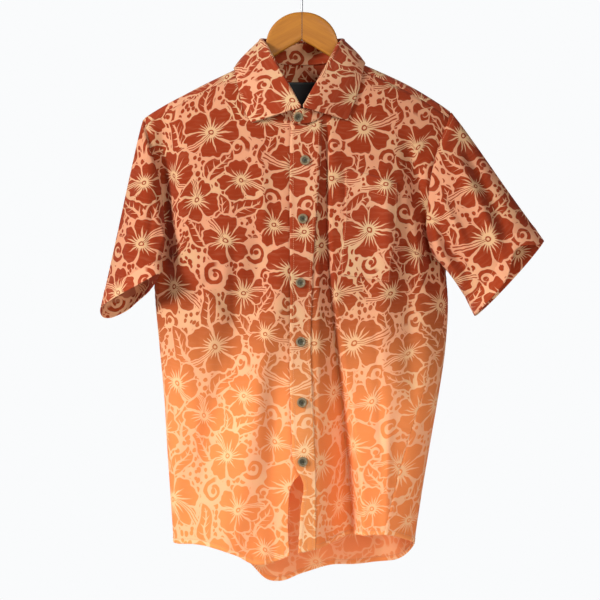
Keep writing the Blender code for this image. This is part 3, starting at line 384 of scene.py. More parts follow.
def pleat(x, drop):
    """Depth beside the button band: slope * the lesser of the way out and the way home, rounded.

    The lesser of two values is (a + b) / 2 - sqrt(((a - b) / 2)^2 + soft^2), which rounds the fold.
    """
    wide = PLEAT["narrow"] + (PLEAT["wide"] - PLEAT["narrow"]) \
        * ramp((drop - PLEAT["start"]) / (PLEAT["foot"] - PLEAT["start"]))
    share = (x - PLEAT["x"]) / wide
    out, home = share, (1 + PLEAT["back"] - share) / PLEAT["back"]
    soft = PLEAT["soft"]
    least = (out + home) / 2 - np.sqrt(((out - home) / 2) ** 2 + soft ** 2)
    least = (least + np.sqrt(least ** 2 + soft ** 2)) / 2
    return PLEAT["slope"] * wide * least * ramp((drop - PLEAT["top"]) / 60)


def section(x, drop, over):
    """Body point at x and drop: its depth is a blunt oval's share of the way over the ridge.

    The way levels off at the body's depth, as (way^-3 + depth^-3)^(-1/3), and folds stand out of it.
    """
    x, drop = np.broadcast_arrays(x, drop)
    low, high = body("low_x", drop), body("high_x", drop)
    share = np.clip(np.abs(2 * x - low - high) / (high - low), 0, 1)
    lens = (1 - share ** BLUNT) ** (1 / BLUNT)
    deep = np.where(over < 0, body("front", drop), body("back", drop))
    way = np.abs(over) + 1e-9
    reach = (way ** -3 + deep ** -3) ** (-1 / 3)
    reach = reach + fold_lift(x, drop, -over)
    return np.stack([x, np.sign(over) * lens * reach, drop], -1)


def over_shoulder(x, over):
    """Body point by its x and its way over the ridge: the drop grows with the way squared."""
    return section(x, ridge(x) + over ** 2 / (2 * RIDGE_RADIUS), over)


def round_body(girth, drop):
    """Body point by its girth and drop; x follows a sine, so the sides are round."""
    turn = girth * np.pi / 2
    low, high = body("low_x", drop), body("high_x", drop)
    x = (low + high) / 2 + (high - low) / 2 * np.sin(turn)
    return section(x, drop, -np.sign(np.cos(turn)) * over_at(x, drop))


def girth_at(x, drop):
    """Girth of a point on the front, from its x."""
    low, high = body("low_x", drop), body("high_x", drop)
    return np.arcsin(np.clip((2 * x - low - high) / (high - low), -1, 1)) * 2 / np.pi


def with_normals(surface, first, second, steps):
    """Points of a surface of two parameters, with unit normals from small steps each way."""
    points = surface(first, second)
    along = surface(first + steps[0], second) - surface(first - steps[0], second)
    across = surface(first, second + steps[1]) - surface(first, second - steps[1])
    return points, unit(np.cross(along, across))


def patch(top, foot, start, finish, share_across, share_down):
    """Fill four edge curves with a net: the sum of both ruled nets less the corners' net."""
    a, b = share_across[:, None, None], share_down[None, :, None]
    ruled = (1 - b) * top[:, None] + b * foot[:, None] + (1 - a) * start[None] + a * finish[None]
    corners = ((1 - a) * (1 - b) * top[0] + a * (1 - b) * top[-1]
               + (1 - a) * b * foot[0] + a * b * foot[-1])
    return ruled - corners


def arm_drop(side, share):
    """Drop at a share of the armhole's height."""
    return ARM_TOP[side] + (ARM_FOOT[side] - ARM_TOP[side]) * share


def arm_x(side, face, share):
    """The armhole's edge seen from the front, inside the body's own outline."""
    inset = smooth(share, ARMHOLE["share"], ARMHOLE[side + "_" + face])
    if side == "left":
        return body("high_x", arm_drop(side, share)) - inset
    return body("low_x", arm_drop(side, share)) + inset


def arm_share(side, drop):
    """Share of the armhole's height at a drop."""
    return (drop - ARM_TOP[side]) / (ARM_FOOT[side] - ARM_TOP[side])


def arm_point(side, face, share):
    """Point of the armhole's edge on the body."""
    x, drop = arm_x(side, face, share), arm_drop(side, share)
    return section(x, drop, over_at(x, drop) * (-1 if face == "front" else 1))


def arm_girth(side, face, share):
    """Girth of the armhole's edge."""
    girth = girth_at(arm_x(side, face, share), arm_drop(side, share))
    girth = np.where(share >= 1, SIGN[side], girth)
    return girth if face == "front" else (2 - girth) % 4


def yoke_seam(x):
    """Drop of the back yoke seam, lower towards the armholes by the square of x."""
    return YOKE_BACK + YOKE_SLOPE * (x / 230) ** 2


def share_at_seam(side, face):
    """Share of the armhole's height at which a yoke seam meets it, found by steps that settle."""
    share = 0.1
    for _ in range(12):
        x = arm_x(side, face, share)
        drop = ridge(x) + YOKE_FRONT if face == "front" else yoke_seam(x)
        share = arm_share(side, drop)
    return share


def shares_down(first, count):
    """Shares of the armhole's height, somewhat closer together at the underarm."""
    even = np.linspace(0, 1, count)
    closer = even + UNDERARM_CLOSE * (np.sin(even * np.pi / 2) - even)
    return first + (1 - first) * closer


def neck_drop(x):
    """The neck seam in front: a quarter oval from the centre to the shoulder."""
    return NECK_SIDE + (NECK_FRONT - NECK_SIDE) * np.sqrt(1 - (x / NECK_WIDTH) ** 2)


def hem(girth):
    """Drop of the hem."""
    return smooth(girth, HEM["girth"], HEM["drop"])


def fine(cells):
    """Net lines for a number of the solid's cells."""
    return (cells - 1) * FINE + 1


def side_edge(side, face, rows_above):
    """A panel's side edge, as girths and drops: the armhole, then the side seam to the hem."""
    share = shares_down(share_at_seam(side, face), fine(rows_above))
    turned = 4 if side == "right" and face == "front" else 0
    arm = np.stack([arm_girth(side, face, share), arm_drop(side, share)], 1)
    drop = np.linspace(ARM_FOOT[side], hem(SIDE_SEAM[side][-2]), fine(ROWS_BELOW))[1:]
    girth = smooth(drop, SIDE_SEAM["drop"], SIDE_SEAM[side]) - turned
    return np.concatenate([arm, np.stack([girth, drop], 1)])


def guided(lines, columns):
    """Girths of a panel's net: even steps between its guide lines, in every row."""
    lines = np.stack(lines, 0)
    spans = [np.linspace(first, last, count * FINE, endpoint=False)
             for first, last, count in zip(lines[:-1], lines[1:], columns)]
    return np.concatenate(spans + [lines[-1:]])


def guide(name, drop):
    """Girths of a guide line."""
    return girth_at(smooth(drop, GUIDES["drop"], GUIDES[name]), drop)


def placket_line(name, drop):
    """x of a line of the overlap."""
    return smooth(drop, PLACKET["drop"], PLACKET[name])


def front_net(side):
    """Girths and drops of a front: neck and yoke seam on top, armhole and side seam, hem."""
    sign, edge_name = SIGN[side], "edge" if side == "left" else "under"
    finish = side_edge(side, "front", ROWS_ABOVE)
    down = (finish[:, 1] - finish[0, 1]) / (finish[-1, 1] - finish[0, 1])
    drop = NECK_FRONT + (hem(0.0) - NECK_FRONT) * down
    first = girth_at(placket_line(edge_name, drop), drop)
    if side == "left":
        lines = [first, girth_at(placket_line("seam", drop), drop), guide("pocket_near", drop),
                 guide("pocket_far", drop), finish[:, 0]]
    else:
        lines = [first, guide("right_near", drop), guide("right_far", drop), finish[:, 0]]
    girth = guided(lines, COLUMNS[side])
    top_x = round_body(girth[:, 0], np.full(len(girth), NET_LEVEL))[:, 0]
    corner = np.argmin(np.abs(top_x - sign * NECK_WIDTH))
    top_x[corner] = sign * NECK_WIDTH * CORNER
    on_neck = np.abs(top_x) < NECK_WIDTH * CORNER ** 2
    top_drop = np.where(on_neck, neck_drop(np.where(on_neck, top_x, 0)), ridge(top_x) + YOKE_FRONT)
    top_drop[-1] = finish[0, 1]
    top_girth = girth_at(top_x, top_drop)
    top_girth[-1] = finish[0, 0]
    girth += (top_girth - girth[:, 0])[:, None] * (1 - down) ** 3
    across = np.linspace(0, 1, len(girth))[:, None]
    foot_drop = hem(girth[:, -1])
    drops = top_drop[:, None] * (1 - down) + foot_drop[:, None] * down
    drops += across ** 3 * (finish[:, 1] - top_drop[-1] * (1 - down) - foot_drop[-1] * down)
    return np.stack([girth, drops], -1)


def back_net():
    """Girths and drops of the back, below the yoke, from side seam to side seam."""
    start, finish = (side_edge(side, "back", ROWS_ABOVE - 1) for side in ("left", "right"))
    down = (start[:, 1] - start[0, 1]) / (start[-1, 1] - start[0, 1])
    drop = start[:, 1]
    lines = [start[:, 0], 2 - guide("back_left", drop), 2 - guide("back_right", drop), finish[:, 0]]
    girth = guided(lines, COLUMNS["back"])
    top_drop = yoke_seam(round_body(girth[:, 0], YOKE_BACK + YOKE_SLOPE / 2)[:, 0])
    top_drop[0], top_drop[-1] = start[0, 1], finish[0, 1]
    drops = top_drop[:, None] * (1 - down) + hem(girth[:, -1])[:, None] * down
    across = np.linspace(0, 1, len(girth))[:, None]
    drops += across ** 3 * (finish[:, 1] - drops[-1]) + (1 - across) ** 3 * (start[:, 1] - drops[0])
    return np.stack([girth, drops], -1)


def yoke_end(side, count):
    """The yoke's end at an armhole, from the front seam over the ridge to the back seam."""
    first = -np.sqrt(2 * RIDGE_RADIUS * YOKE_FRONT)
    x = arm_x(side, "back", share_at_seam(side, "back"))
    last = over_at(x, yoke_seam(x))
    over = np.linspace(first, last, count)
    x = np.full(count, arm_x(side, "front", 0.0))
    for _ in range(12):
        share = arm_share(side, ridge(x) + over ** 2 / (2 * RIDGE_RADIUS))
        x = np.where(over < 0, arm_x(side, "front", share), arm_x(side, "back", share))
    return np.stack([x, over], 1)


def yoke_net():
    """x and way over the ridge of the yoke's net: a patch between its four edges."""
    start, finish = yoke_end("right", fine(YOKE_ROWS)), yoke_end("left", fine(YOKE_ROWS))
    turn = np.linspace(-1, 1, fine(YOKE_NECK)) * np.pi / 2
    neck_x = NECK_WIDTH * np.sin(turn)
    drop = NECK_SIDE + (NECK_BACK - NECK_SIDE) * np.cos(turn)
    neck_over = over_at(neck_x, drop)
    count = fine(YOKE_SHOULDER)
    right_x = np.linspace(start[0, 0], -NECK_WIDTH * CORNER, count)
    left_x = np.linspace(NECK_WIDTH * CORNER, finish[0, 0], count)
    x = np.concatenate([right_x, neck_x[1:-1], left_x])
    over = np.concatenate([np.full(count, start[0, 1]), neck_over[1:-1], np.full(count, finish[0, 1])])
    across = np.linspace(0, 1, len(x))
    foot_x = start[-1, 0] + (finish[-1, 0] - start[-1, 0]) * across
    foot = np.stack([foot_x, over_at(foot_x, yoke_seam(foot_x))], 1)
    return patch(np.stack([x, over], 1), foot, start, finish, across, np.linspace(0, 1, fine(YOKE_ROWS)))


def armhole_ring(side):
    """The armhole's whole ring of points, with angles: 0 on top, a half turn at the underarm."""
    front_share = shares_down(share_at_seam(side, "front"), fine(ROWS_ABOVE))
    back_share = shares_down(share_at_seam(side, "back"), fine(ROWS_ABOVE - 1))[-2::-1]
    end = yoke_end(side, fine(YOKE_ROWS))[-2:0:-1]
    end_points = over_shoulder(end[:, 0], end[:, 1])
    end_share = arm_share(side, end_points[:, 2])
    points = np.concatenate([arm_point(side, "front", front_share),
                             arm_point(side, "back", back_share), end_points])
    share = np.clip(np.concatenate([front_share, back_share, end_share]), 0, 1)
    turn = np.arccos(1 - 2 * share)
    behind = np.arange(len(turn)) >= len(front_share)
    behind[len(front_share) + len(back_share):] = end[:, 1] > 0
    turn = np.where(behind, LOOP - turn, turn)
    under = len(front_share) - 1
    return np.roll(points, -under, axis=0), np.roll(turn, -under)


def near_turn(turn, middle, width):
    """1 at a place round the armhole, dying away to both sides of it."""
    return np.exp(-((turn - middle * LOOP) / width) ** 2)[:, None]


def sleeve_net(side, rows):
    """Straight lines from the armhole's ring to the mouth's oval, with a soft roll over the seam."""
    ring, turn = armhole_ring(side)
    mouth = MOUTH[side]
    at = turn + mouth["turn"] * np.sin(turn / 2) ** 2
    oval = (np.array(mouth["centre"]) + np.cos(at)[:, None] * mouth["outward"]
            + np.sin(at)[:, None] * mouth["forward"])
    oval[:, 2] += mouth["dip"] * np.maximum(-np.sin(at), 0)
    share = np.linspace(0, 1, rows)
    raised = mouth["rise"] * near_turn(turn, SLEEVE["rise_turn"], SLEEVE["rise_width"])
    way = (share * (1 - raised))[..., None]
    out = unit(ring * (1 / 220 ** 2, 1 / 60 ** 2, 0))
    first = ring + unit(unit(oval - ring) + SLEEVE["lean"] * out) * SLEEVE["clear"]
    first[:, 2] += SLEEVE["sink"] * np.maximum(np.cos(turn), 0) ** 4
    net = first[:, None] + (oval - first)[:, None] * way
    roll = way[..., 0] / SLEEVE["full"] * np.exp(1 - way[..., 0] / SLEEVE["full"])
    in_front = np.maximum(np.sin(turn), 0)[:, None]
    low = near_turn(turn, SLEEVE["low_turn"], SLEEVE["low_width"])
    under = near_turn(turn, SLEEVE["under_turn"], SLEEVE["under_width"])
    inward = SLEEVE["in_front"] * in_front ** 2 + SLEEVE["in_low"] * low - mouth["swing"] * under
    net[..., 0] -= SIGN[side] * roll * inward
    net[..., 1] -= roll * (SLEEVE["forward"] * in_front + SLEEVE["forward_low"] * low)
    net[..., 2] += roll * SLEEVE["down_low"] * low
    tucked = ring + SLEEVE["tuck"] * unit(ring.mean(0) - ring) - SLEEVE["tuck_in"] * out
    net = np.concatenate([tucked[:, None], net], axis=1)
    return net, turn / LOOP, np.append(-0.01, share)


def round_neck(station, name, sign, table=ROLL):
    """A column of a collar table, carried on round the back with its own sign for the far side."""
    near = table.get("left_" + name, table.get(name))
    far = table.get("right_" + name, table.get(name))
    values = list(near) + [sign * value for value in far[-2::-1]]
    return smooth(station, np.arange(len(values)), values)


def near_end(station):
    """1 at a front end of the collar, dying away round the neck."""
    return np.exp(-(station / 1.6) ** 2)


def roll_line(station):
    """Points of the line where the collar turns over."""
    points = np.stack([round_neck(station, "x", -1), round_neck(station, "y", 1),
                       round_neck(station, "drop", 1)], -1)
    points[:, 1] -= LAP * (near_end(station) - near_end(LAST - station))
    return points


def away(points):
    """Level directions out from the neck's own middle."""
    return unit(points * (1, 1, 0) + (0, NECK_CENTRE, 0))


def facing_out(points, normals):
    """The normals, all turned to point away from the body's middle line."""
    middle = points * (0, 0, 1) + (0, 0, 20)
    outward = (normals * (points - middle)).sum() > 0
    return normals if outward else -normals


def leaf_edge(station):
    """Points of the leaf's free edge, just clear of the body that it lies on."""
    x = round_neck(station, "x", -1, LEAF_EDGE)
    over = round_neck(station, "over", 1, LEAF_EDGE)
    points, normals = with_normals(over_shoulder, x, over, OVER_STEPS)
    return points + LEAF_CLEAR * facing_out(points, normals)


def neck_seam(station):
    """Points of the neck seam for the collar's stations."""
    turn = np.radians(smooth(station, np.arange(LAST + 1), NECK_TURN))
    x, cosine = NECK_WIDTH * np.sin(turn), np.cos(turn)
    drop = NECK_SIDE + np.where(cosine > 0, NECK_FRONT - NECK_SIDE, NECK_SIDE - NECK_BACK) * cosine
    points = section(x, drop, -np.sign(cosine) * over_at(x, drop))
    points[:, 1] -= 3 * LAP * near_end(station) - LAP * near_end(LAST - station)
    points[:, 2] -= STAND_LIFT * (1 - 1.15 * near_end(station))
    return points


# ---------------------------------------------------------------- meshes

def lengths(points, axis, keep=(1, 1, 1)):
    """Length along one way of a net from its first line, counting only the kept directions."""
    step = np.linalg.norm(np.diff(points * keep, axis=axis), axis=-1)
    return np.concatenate([np.zeros_like(np.take(step, [0], axis)), np.cumsum(step, axis)], axis)


def edge_distances(points):
    """Distances of a net's points from its four borders."""
    across, down = lengths(points, 0), lengths(points, 1)
    return {"start": across, "finish": across[-1:] - across, "top": down, "foot": down[:, -1:] - down}


def net_normals(points, closed=False):
    """Unit normals of a net from its neighbours."""
    if closed:
        ring = np.concatenate([points[-1:], points, points[:1]])
        along = ring[2:] - ring[:-2]
    else:
        along = np.gradient(points, axis=0)
    return unit(np.cross(along, np.gradient(points, axis=1)))


def grid_corners(rows, columns, wrap):
    """Quads of a net as row and column numbers, rows counted on past the end where it closes."""
    i, j = np.meshgrid(np.arange(rows if wrap else rows - 1), np.arange(columns - 1), indexing="ij")
    i, j = i.ravel(), j.ravel()
    return np.stack([i, i + 1, i + 1, i], 1), np.stack([j, j, j + 1, j + 1], 1)


def border_loops(rows, columns, wrap):
    """The net's border as loops of row and column numbers, in the direction of its quads."""
    if wrap:
        around = np.arange(rows + 1)
        return [(around, around * 0), (around[::-1], around * 0 + columns - 1)]
    up, across = np.arange(rows), np.arange(columns)
    i = np.concatenate([up, across[1:] * 0 + rows - 1, up[::-1][1:], across[1:] * 0])
    j = np.concatenate([up * 0, across[1:], up[1:] * 0 + columns - 1, across[::-1][1:]])
    return [(i, j)]


def dye_at(name, points):
    """How far the dye has changed from rust at the shoulders to pale orange at the hem, 0 to 1."""
    share = ramp((points[:, 2] - DYE_TOP) / (DYE_FOOT - DYE_TOP))
    return share * DYED.get(name, 1.0)


def add_piece(name, points, faces, material, node_name=None, uv=None, values=None):
    """One object in metres from points given as x, y and drop in millimetres.

    faces holds an array for each number of corners. They are turned to face outwards, by the sign of
    the volume that they enclose: the sum of first . (second x third) over all their triangles.
    """
    volume = sum((points[part[:, 0]] * np.cross(points[part[:, k]], points[part[:, k + 1]])).sum()
                 for part in faces for k in range(1, part.shape[1] - 1))
    order = slice(None) if volume < 0 else slice(None, None, -1)
    mesh = bpy.data.meshes.new(name)
    place = (points * (1, 1, -1) - (0, 0, HOOK_RISE)) * MM
    mesh.from_pydata(place.tolist(), [], sum((part[:, order].tolist() for part in faces), []))
    mesh.shade_smooth()
    if uv is not None:
        layer = mesh.uv_layers.new(name="cloth")
        layer.uv.foreach_set("vector", uv[:, order].reshape(-1).astype(np.float32))
    for label, value in (values or {}).items():
        mesh.attributes.new(label, "FLOAT", "POINT").data.foreach_set("value", value.astype(np.float32))
    mesh.update()
    piece = bpy.data.objects.new(name, mesh)
    bpy.context.collection.objects.link(piece)
    mesh.materials.append(material)
    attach(piece, "root")
    if node_name:
        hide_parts(node_name)
    return piece


Cloth = namedtuple("Cloth", "piece net normals lift thick flat")


def shell(name, net, normals, thick, flat, material, lift=0.0, closed=False, node_name=None):
    """A cloth wall: a net moved half its thickness each way along its normals, with a round rim.

    The net is first raised by its lift. The rim's middle line stands out past the border by a share
    of half the thickness, so that a folded edge looks round. flat holds the net's place on the flat
    cloth, one row more where it closes. Attributes say what is the inside, dyed and a turned hem.
    """
    rows, columns = net.shape[:2]
    count = rows * columns
    lift, thick = (np.zeros((rows, columns)) + value for value in (lift, thick))
    half = thick[..., None] / 2
    middle = net + normals * lift[..., None]
    outer, inner = middle + normals * half, middle - normals * half
    i, j = grid_corners(rows, columns, closed)
    vertex, print_at = i % rows * columns + j, i * columns + j
    faces, places = [vertex, vertex[:, ::-1] + count], [print_at, print_at[:, ::-1]]
    rims, made = [], 2 * count
    for row, column in border_loops(rows, columns, closed):
        uv_at, row = row * columns + column, row % rows
        at = row * columns + column
        next_row = row if closed else np.clip(row, 1, rows - 2)
        outward = unit(middle[row, column] - middle[next_row, np.clip(column, 1, columns - 2)])
        rim = middle[row, column] + outward * half[row, column] * RIM
        rims.append(rim[:-1])
        ring = made + np.append(np.arange(len(at) - 1), 0)
        made += len(at) - 1
        p, q = at[:-1], at[1:]
        faces += [np.stack([q, p, ring[:-1], ring[1:]], 1),
                  np.stack([ring[1:], ring[:-1], p + count, q + count], 1)]
        p, q = uv_at[:-1], uv_at[1:]
        places += [np.stack([q, p, p, q], 1)] * 2
    points = np.concatenate([outer.reshape(-1, 3), inner.reshape(-1, 3), *rims])
    turned = ramp((thick - CLOTH) / TURNED).reshape(-1)
    edge = np.ones(len(points) - 2 * count)
    values = {"reverse": np.concatenate([0 * turned, 1 - turned, 0 * edge]) * (name not in DOUBLED),
              "dye": dye_at(name, points), "turned": np.concatenate([turned, turned, edge])}
    uv = flat.reshape(-1, 2)[np.concatenate(places)] * MM
    piece = add_piece(name, points, [np.concatenate(faces)], material,
                      node_name or name.replace("cloth_", ""), uv, values)
    return Cloth(piece, net, normals, lift, thick, flat)


def closed_tube(name, net, material, node_name, values=None):
    """A closed solid from rings: quads between them and a fan of triangles over each end."""
    sides, count = net.shape[:2]
    i, j = grid_corners(sides, count, True)
    points = np.concatenate([net.reshape(-1, 3), [net[:, 0].mean(0), net[:, -1].mean(0)]])
    around = np.arange(sides)
    here, after = around * count, (around + 1) % sides * count
    fans = np.concatenate([np.stack([after, here, here * 0 + sides * count], 1),
                           np.stack([here, after, here * 0 + sides * count + 2 - count], 1) + count - 1])
    piece = add_piece(name, points, [i % sides * count + j, fans], material, node_name, values=values)
    piece.data.set_sharp_from_angle(angle=np.radians(SHARP))
    return piece


# ---------------------------------------------------------------- the cloth's pieces

def band(distance, width):
    """1 within a width of an edge, falling to 0 over half a millimetre."""
    return ramp((width + 0.25 - distance) / 0.5)


def pucker(away_from_line, along, height, reach, pitch, phase):
    """Small waves that a row of stitches draws up: height * exp(-(away / reach)^2) * uneven wave.

    The wave's pitch and height drift along the row, over lengths of their own.
    """
    wave = np.sin(along * LOOP / pitch + phase + 1.7 * np.sin(along / 31 + phase))
    uneven = 0.6 + 0.4 * np.sin(along / 47 + 2 * phase)
    return height * np.exp(-(away_from_line / reach) ** 2) * wave * uneven


def seam_relief(border, seams, part):
    """The puckers of a piece's seams together, from its net's distances to its borders."""
    return sum(pucker(border[edge] - inset, border[counted], height, reach, pitch, phase)
               for (edge, inset, counted, reach, pitch, phase), height in zip(SEAMS[seams], PUCKERS[part]))


def near_edges(border, edges, width):
    """1 within a width of any of these borders."""
    return band(np.min([border[edge] for edge in edges], axis=0), width)


def flat_print(points, column, row, shift=(0, 0), across_keep=(1, 1, 0)):
    """A net's place on the flat cloth: lengths across from one column and down from one row."""
    across = lengths(points, 0, across_keep)
    across = across - across[column] + np.sign(points[-1, row, 0] - points[0, row, 0]) \
        * points[column, :, 0]
    down = lengths(points, 1, (0, 1, 1))
    down = down - down[:, row:row + 1] + points[:, row, 2][:, None]
    return np.stack([across + shift[0], -down + shift[1]], -1)


def drawn_in(points, amount):
    """Take a panel's edges in, so that its neighbours stay clear of it."""
    points = points.copy()
    for edge, inner in ((points[0], points[1]), (points[-1], points[-2]),
                        (points[:, 0], points[:, 1]), (points[:, -1], points[:, -2])):
        edge += unit(inner - edge) * amount
    return points


def panel(part, surface, net, material, anchor, hem=HEM_MORE, lap=0):
    """A body panel: its net on the form, drawn in, puckered at its seams and given its wall.

    anchor holds the column and row from which its print is laid out. The fronts stand apart where the
    left one laps over the right one, by exp(-(x / reach)^2).
    """
    points = drawn_in(surface(net[..., 0], net[..., 1]), SEAM_IN)
    flat = flat_print(points, *anchor, PRINT_AT[part])
    border = edge_distances(points)
    relief = seam_relief(border, "panel", part)
    points = points + facing_out(points, net_normals(points)) * relief[..., None]
    lift = lap * LAP * np.exp(-(points[..., 0] / LAP_REACH) ** 2)
    return shell("cloth_" + part, points, facing_out(points, net_normals(points)),
                 CLOTH + hem * band(border["foot"], HEM_WIDTH), flat, material, lift)


def sleeve(side, material):
    """A sleeve: its net raised by creases, soft waves, a full head and puckers, with a turned cuff.

    A crease is lift * ends * exp(-(distance from its line / half width)^2), its line running aslant
    down the sleeve.
    """
    net, turn, way = sleeve_net(side, SLEEVE_ROWS)
    length, ring = lengths(net, 1), np.concatenate([net, net[:1]])
    around = lengths(ring, 0)
    size, from_cuff = around[-1].mean(), length[:, -1:] - length
    grain = unit((net[:, -1].mean(0) - net[:, 0].mean(0)) * (1, 0, 1))
    across = ring @ np.array([grain[2], 0, -grain[0]])
    broad = lengths(np.stack([across, SLEEVE["side_print"] * ring[..., 1]], -1), 0, (1, 1))
    flat = np.stack([broad - broad[-1:] / 2, -(ring @ grain)], -1) + PRINT_AT["sleeve_" + side]
    relief = np.zeros(net.shape[:2])
    for middle, start, to_middle, end, width, lift in SLEEVE_CREASES[side]:
        along = (way - start) / (end - start)
        line = middle + (to_middle - middle) * along
        gap = (turn[:, None] - line[None] + 0.5) % 1 - 0.5
        ends = ramp(along / FOLD_ENDS[0]) * ramp((1 - along) / FOLD_ENDS[0])
        relief += lift * ends[None] * np.exp(-(gap * size / width) ** 2)
    for waves, slant in SLEEVE_WAVES:
        wave = np.sin(turn[:, None] * LOOP * waves + way[None] / slant)
        relief += SLEEVE["wave"] * ramp(way / 0.1)[None] * wave
    before = np.exp(-((turn - SLEEVE["head_turn"]) / SLEEVE["head_width"]) ** 2)[:, None]
    relief += SLEEVE["full_head"] * before \
        * np.exp(-((length - SLEEVE["head_at"]) / SLEEVE["head_reach"]) ** 2)
    border = {"top": length, "foot": from_cuff, "around": around[:-1]}
    relief += seam_relief(border, "sleeve", "sleeve")
    out = net - net.mean(0, keepdims=True)

    def outward(points):
        normals = net_normals(points, closed=True)
        return normals if (normals * out).sum() > 0 else -normals

    points = net + outward(net) * relief[..., None]
    thick = CLOTH + CUFF_MORE * band(from_cuff, CUFF_WIDTH)
    return shell("cloth_sleeve_" + side, points, outward(points), thick, flat, material, closed=True)


def band_print(part, net, line=0):
    """A collar piece's place on the flat cloth: lengths round the neck on one line, and down."""
    round_line = lengths(net, 0)[:, line:line + 1]
    return np.stack([round_line + 0 * net[..., 0], -lengths(net, 1)], -1) + PRINT_AT[part]


def collar(material):
    """The collar's leaf: up from the stand, over the roll line and down to its free edge."""
    station = np.linspace(0, LAST, COLLAR_COLUMNS)
    line = roll_line(station)
    out = away(line)
    rows = [line + outward * out + (0, 0, below) for outward, below in ROLL_ROWS]
    first, last = rows[-1], leaf_edge(station)
    part = np.linspace(0, 1, LEAF_LINES)[1:, None, None]
    leaf = first + (last - first) * part + np.sin(np.pi * part) * LEAF_BOW * out
    net = np.concatenate([finer(rows, ROLL_LINES), leaf]).transpose(1, 0, 2)
    border = edge_distances(net)
    soft = 0.5 * np.sin(border["start"] / 23 + 1) * np.sin(border["foot"] / 13) * ramp(border["top"] / 20)
    points = net - net_normals(net) * (seam_relief(border, "collar", "collar") + soft)[..., None]
    edges = near_edges(border, ("start", "finish", "foot"), EDGE_STITCH)
    return shell("cloth_collar", points, -net_normals(points),
                 BAND - BAND_LESS + STITCHED_MORE["collar"] * edges, band_print("collar", net, ROLL_LINES),
                 material)


def collar_stand(material):
    """The stand: a band from the neck seam up to the roll, its left end lapped over its right."""
    past = np.linspace(-1, 0, STAND_PAST, endpoint=False)
    station = np.concatenate([past, np.linspace(0, LAST, COLLAR_COLUMNS), LAST - past[::-1]])
    held = np.clip(station, 0, LAST)
    past = station - held
    line = roll_line(held)
    top, foot = line - STAND_UNDER[0] * away(line) + (0, 0, STAND_UNDER[1]), neck_seam(held)
    for row in (top, foot):
        row[:, 0] += STAND_END[0] * past
    top[:, 2] += STAND_END[1] * past ** 2
    part = np.linspace(0, 1, STAND_LINES)[None, :, None]
    inside = (1 - near_end(held) - near_end(LAST - held))[:, None]
    tuck = STAND_TUCK[1] * np.array([0, 0, 1]) - STAND_TUCK[0] * away(foot)
    net = np.concatenate([top[:, None] + (foot - top)[:, None] * part,
                          (foot + (0, 0, 0.3) + inside * tuck)[:, None]], axis=1)
    return shell("cloth_collar_stand", net, facing_out(net, net_normals(net)), BAND - BAND_LESS,
                 band_print("collar_stand", net), material)


def placket(front, material):
    """The button-hole band, laid on the left front's first columns and stitched along both edges."""
    count = 2 * FINE + 1
    net, out = front.net[:count].copy(), front.normals[:count]
    net[:, 0] += (net[:, FINE] - net[:, 0]) * PLACKET_TOP
    border = edge_distances(net)
    thick = CLOTH + STITCHED_MORE["placket"] * near_edges(border, ("start", "finish"), EDGE_STITCH) \
        + FOLDED_MORE * band(border["foot"], HEM_WIDTH)
    return shell("cloth_placket", net + out * seam_relief(border, "placket", "placket")[..., None], out,
                 thick, front.flat[:count] + PRINT_AT["placket"], material, front.lift[:count] + LAYER)


def pocket(front, material):
    """The patch pocket, its print matched to the front that it lies on."""
    place = tuple(slice(first * FINE, last * FINE + 1) for first, last in (POCKET_COLUMNS, POCKET_ROWS))
    border = edge_distances(front.net[place])
    near = near_edges(border, ("start", "finish", "foot"), POCKET_STITCH + 0.5)
    thick = CLOTH + STITCHED_MORE["pocket"] * near + FOLDED_MORE * band(border["top"], POCKET_TOP)
    return shell("cloth_pocket", front.net[place], front.normals[place], thick, front.flat[place], material,
                 front.lift[place] + LAYER)


def neck_label(material):
    """The plain woven label inside the yoke, its ends folded under."""
    across, down = np.linspace(-1, 1, 45) * LABEL["width"] / 2, np.linspace(0, 1, 31) * LABEL["height"]
    x, drop = np.meshgrid(across, LABEL["top"] + down, indexing="ij")
    net = over_shoulder(x, over_at(x, drop))
    ends = near_edges(edge_distances(net), ("start", "finish"), LABEL["folded"])
    thick = LABEL["thickness"] - LABEL["fold"] + LABEL["fold"] * ends
    return shell("woven_label", net, facing_out(net, net_normals(net)), thick, np.stack([x, -drop], -1),
                 material, -LABEL["inside"], node_name="neck_label")


# ---------------------------------------------------------------- hanger, hook and buttons

def hanger_half(side, material):
    """Half of the hanger: sections from the middle to the arm's end, each a squared round.

    A section's points are the square roots of a circle's cosine and sine, with their signs.
    """
    turn = np.linspace(0, LOOP, 40, endpoint=False)
    out, up = (np.sign(value) * np.sqrt(np.abs(value)) for value in (np.cos(turn), np.sin(turn)))
    x, top, under = finer(np.stack(list(HANGER.values()), 1), HANGER_SECTIONS).T
    share, start, length = HANGER_SLIM
    slim = 1 - share * ramp((x - start) / length)
    drop = (top + under) / 2 + (under - top) / 2 * up[:, None]
    net = np.stack([SIGN[side] * x + 0 * drop, HANGER_HALF * out[:, None] * slim, drop], -1)
    closed_tube("wood_hanger_" + side, net, material, "hanger_" + side)


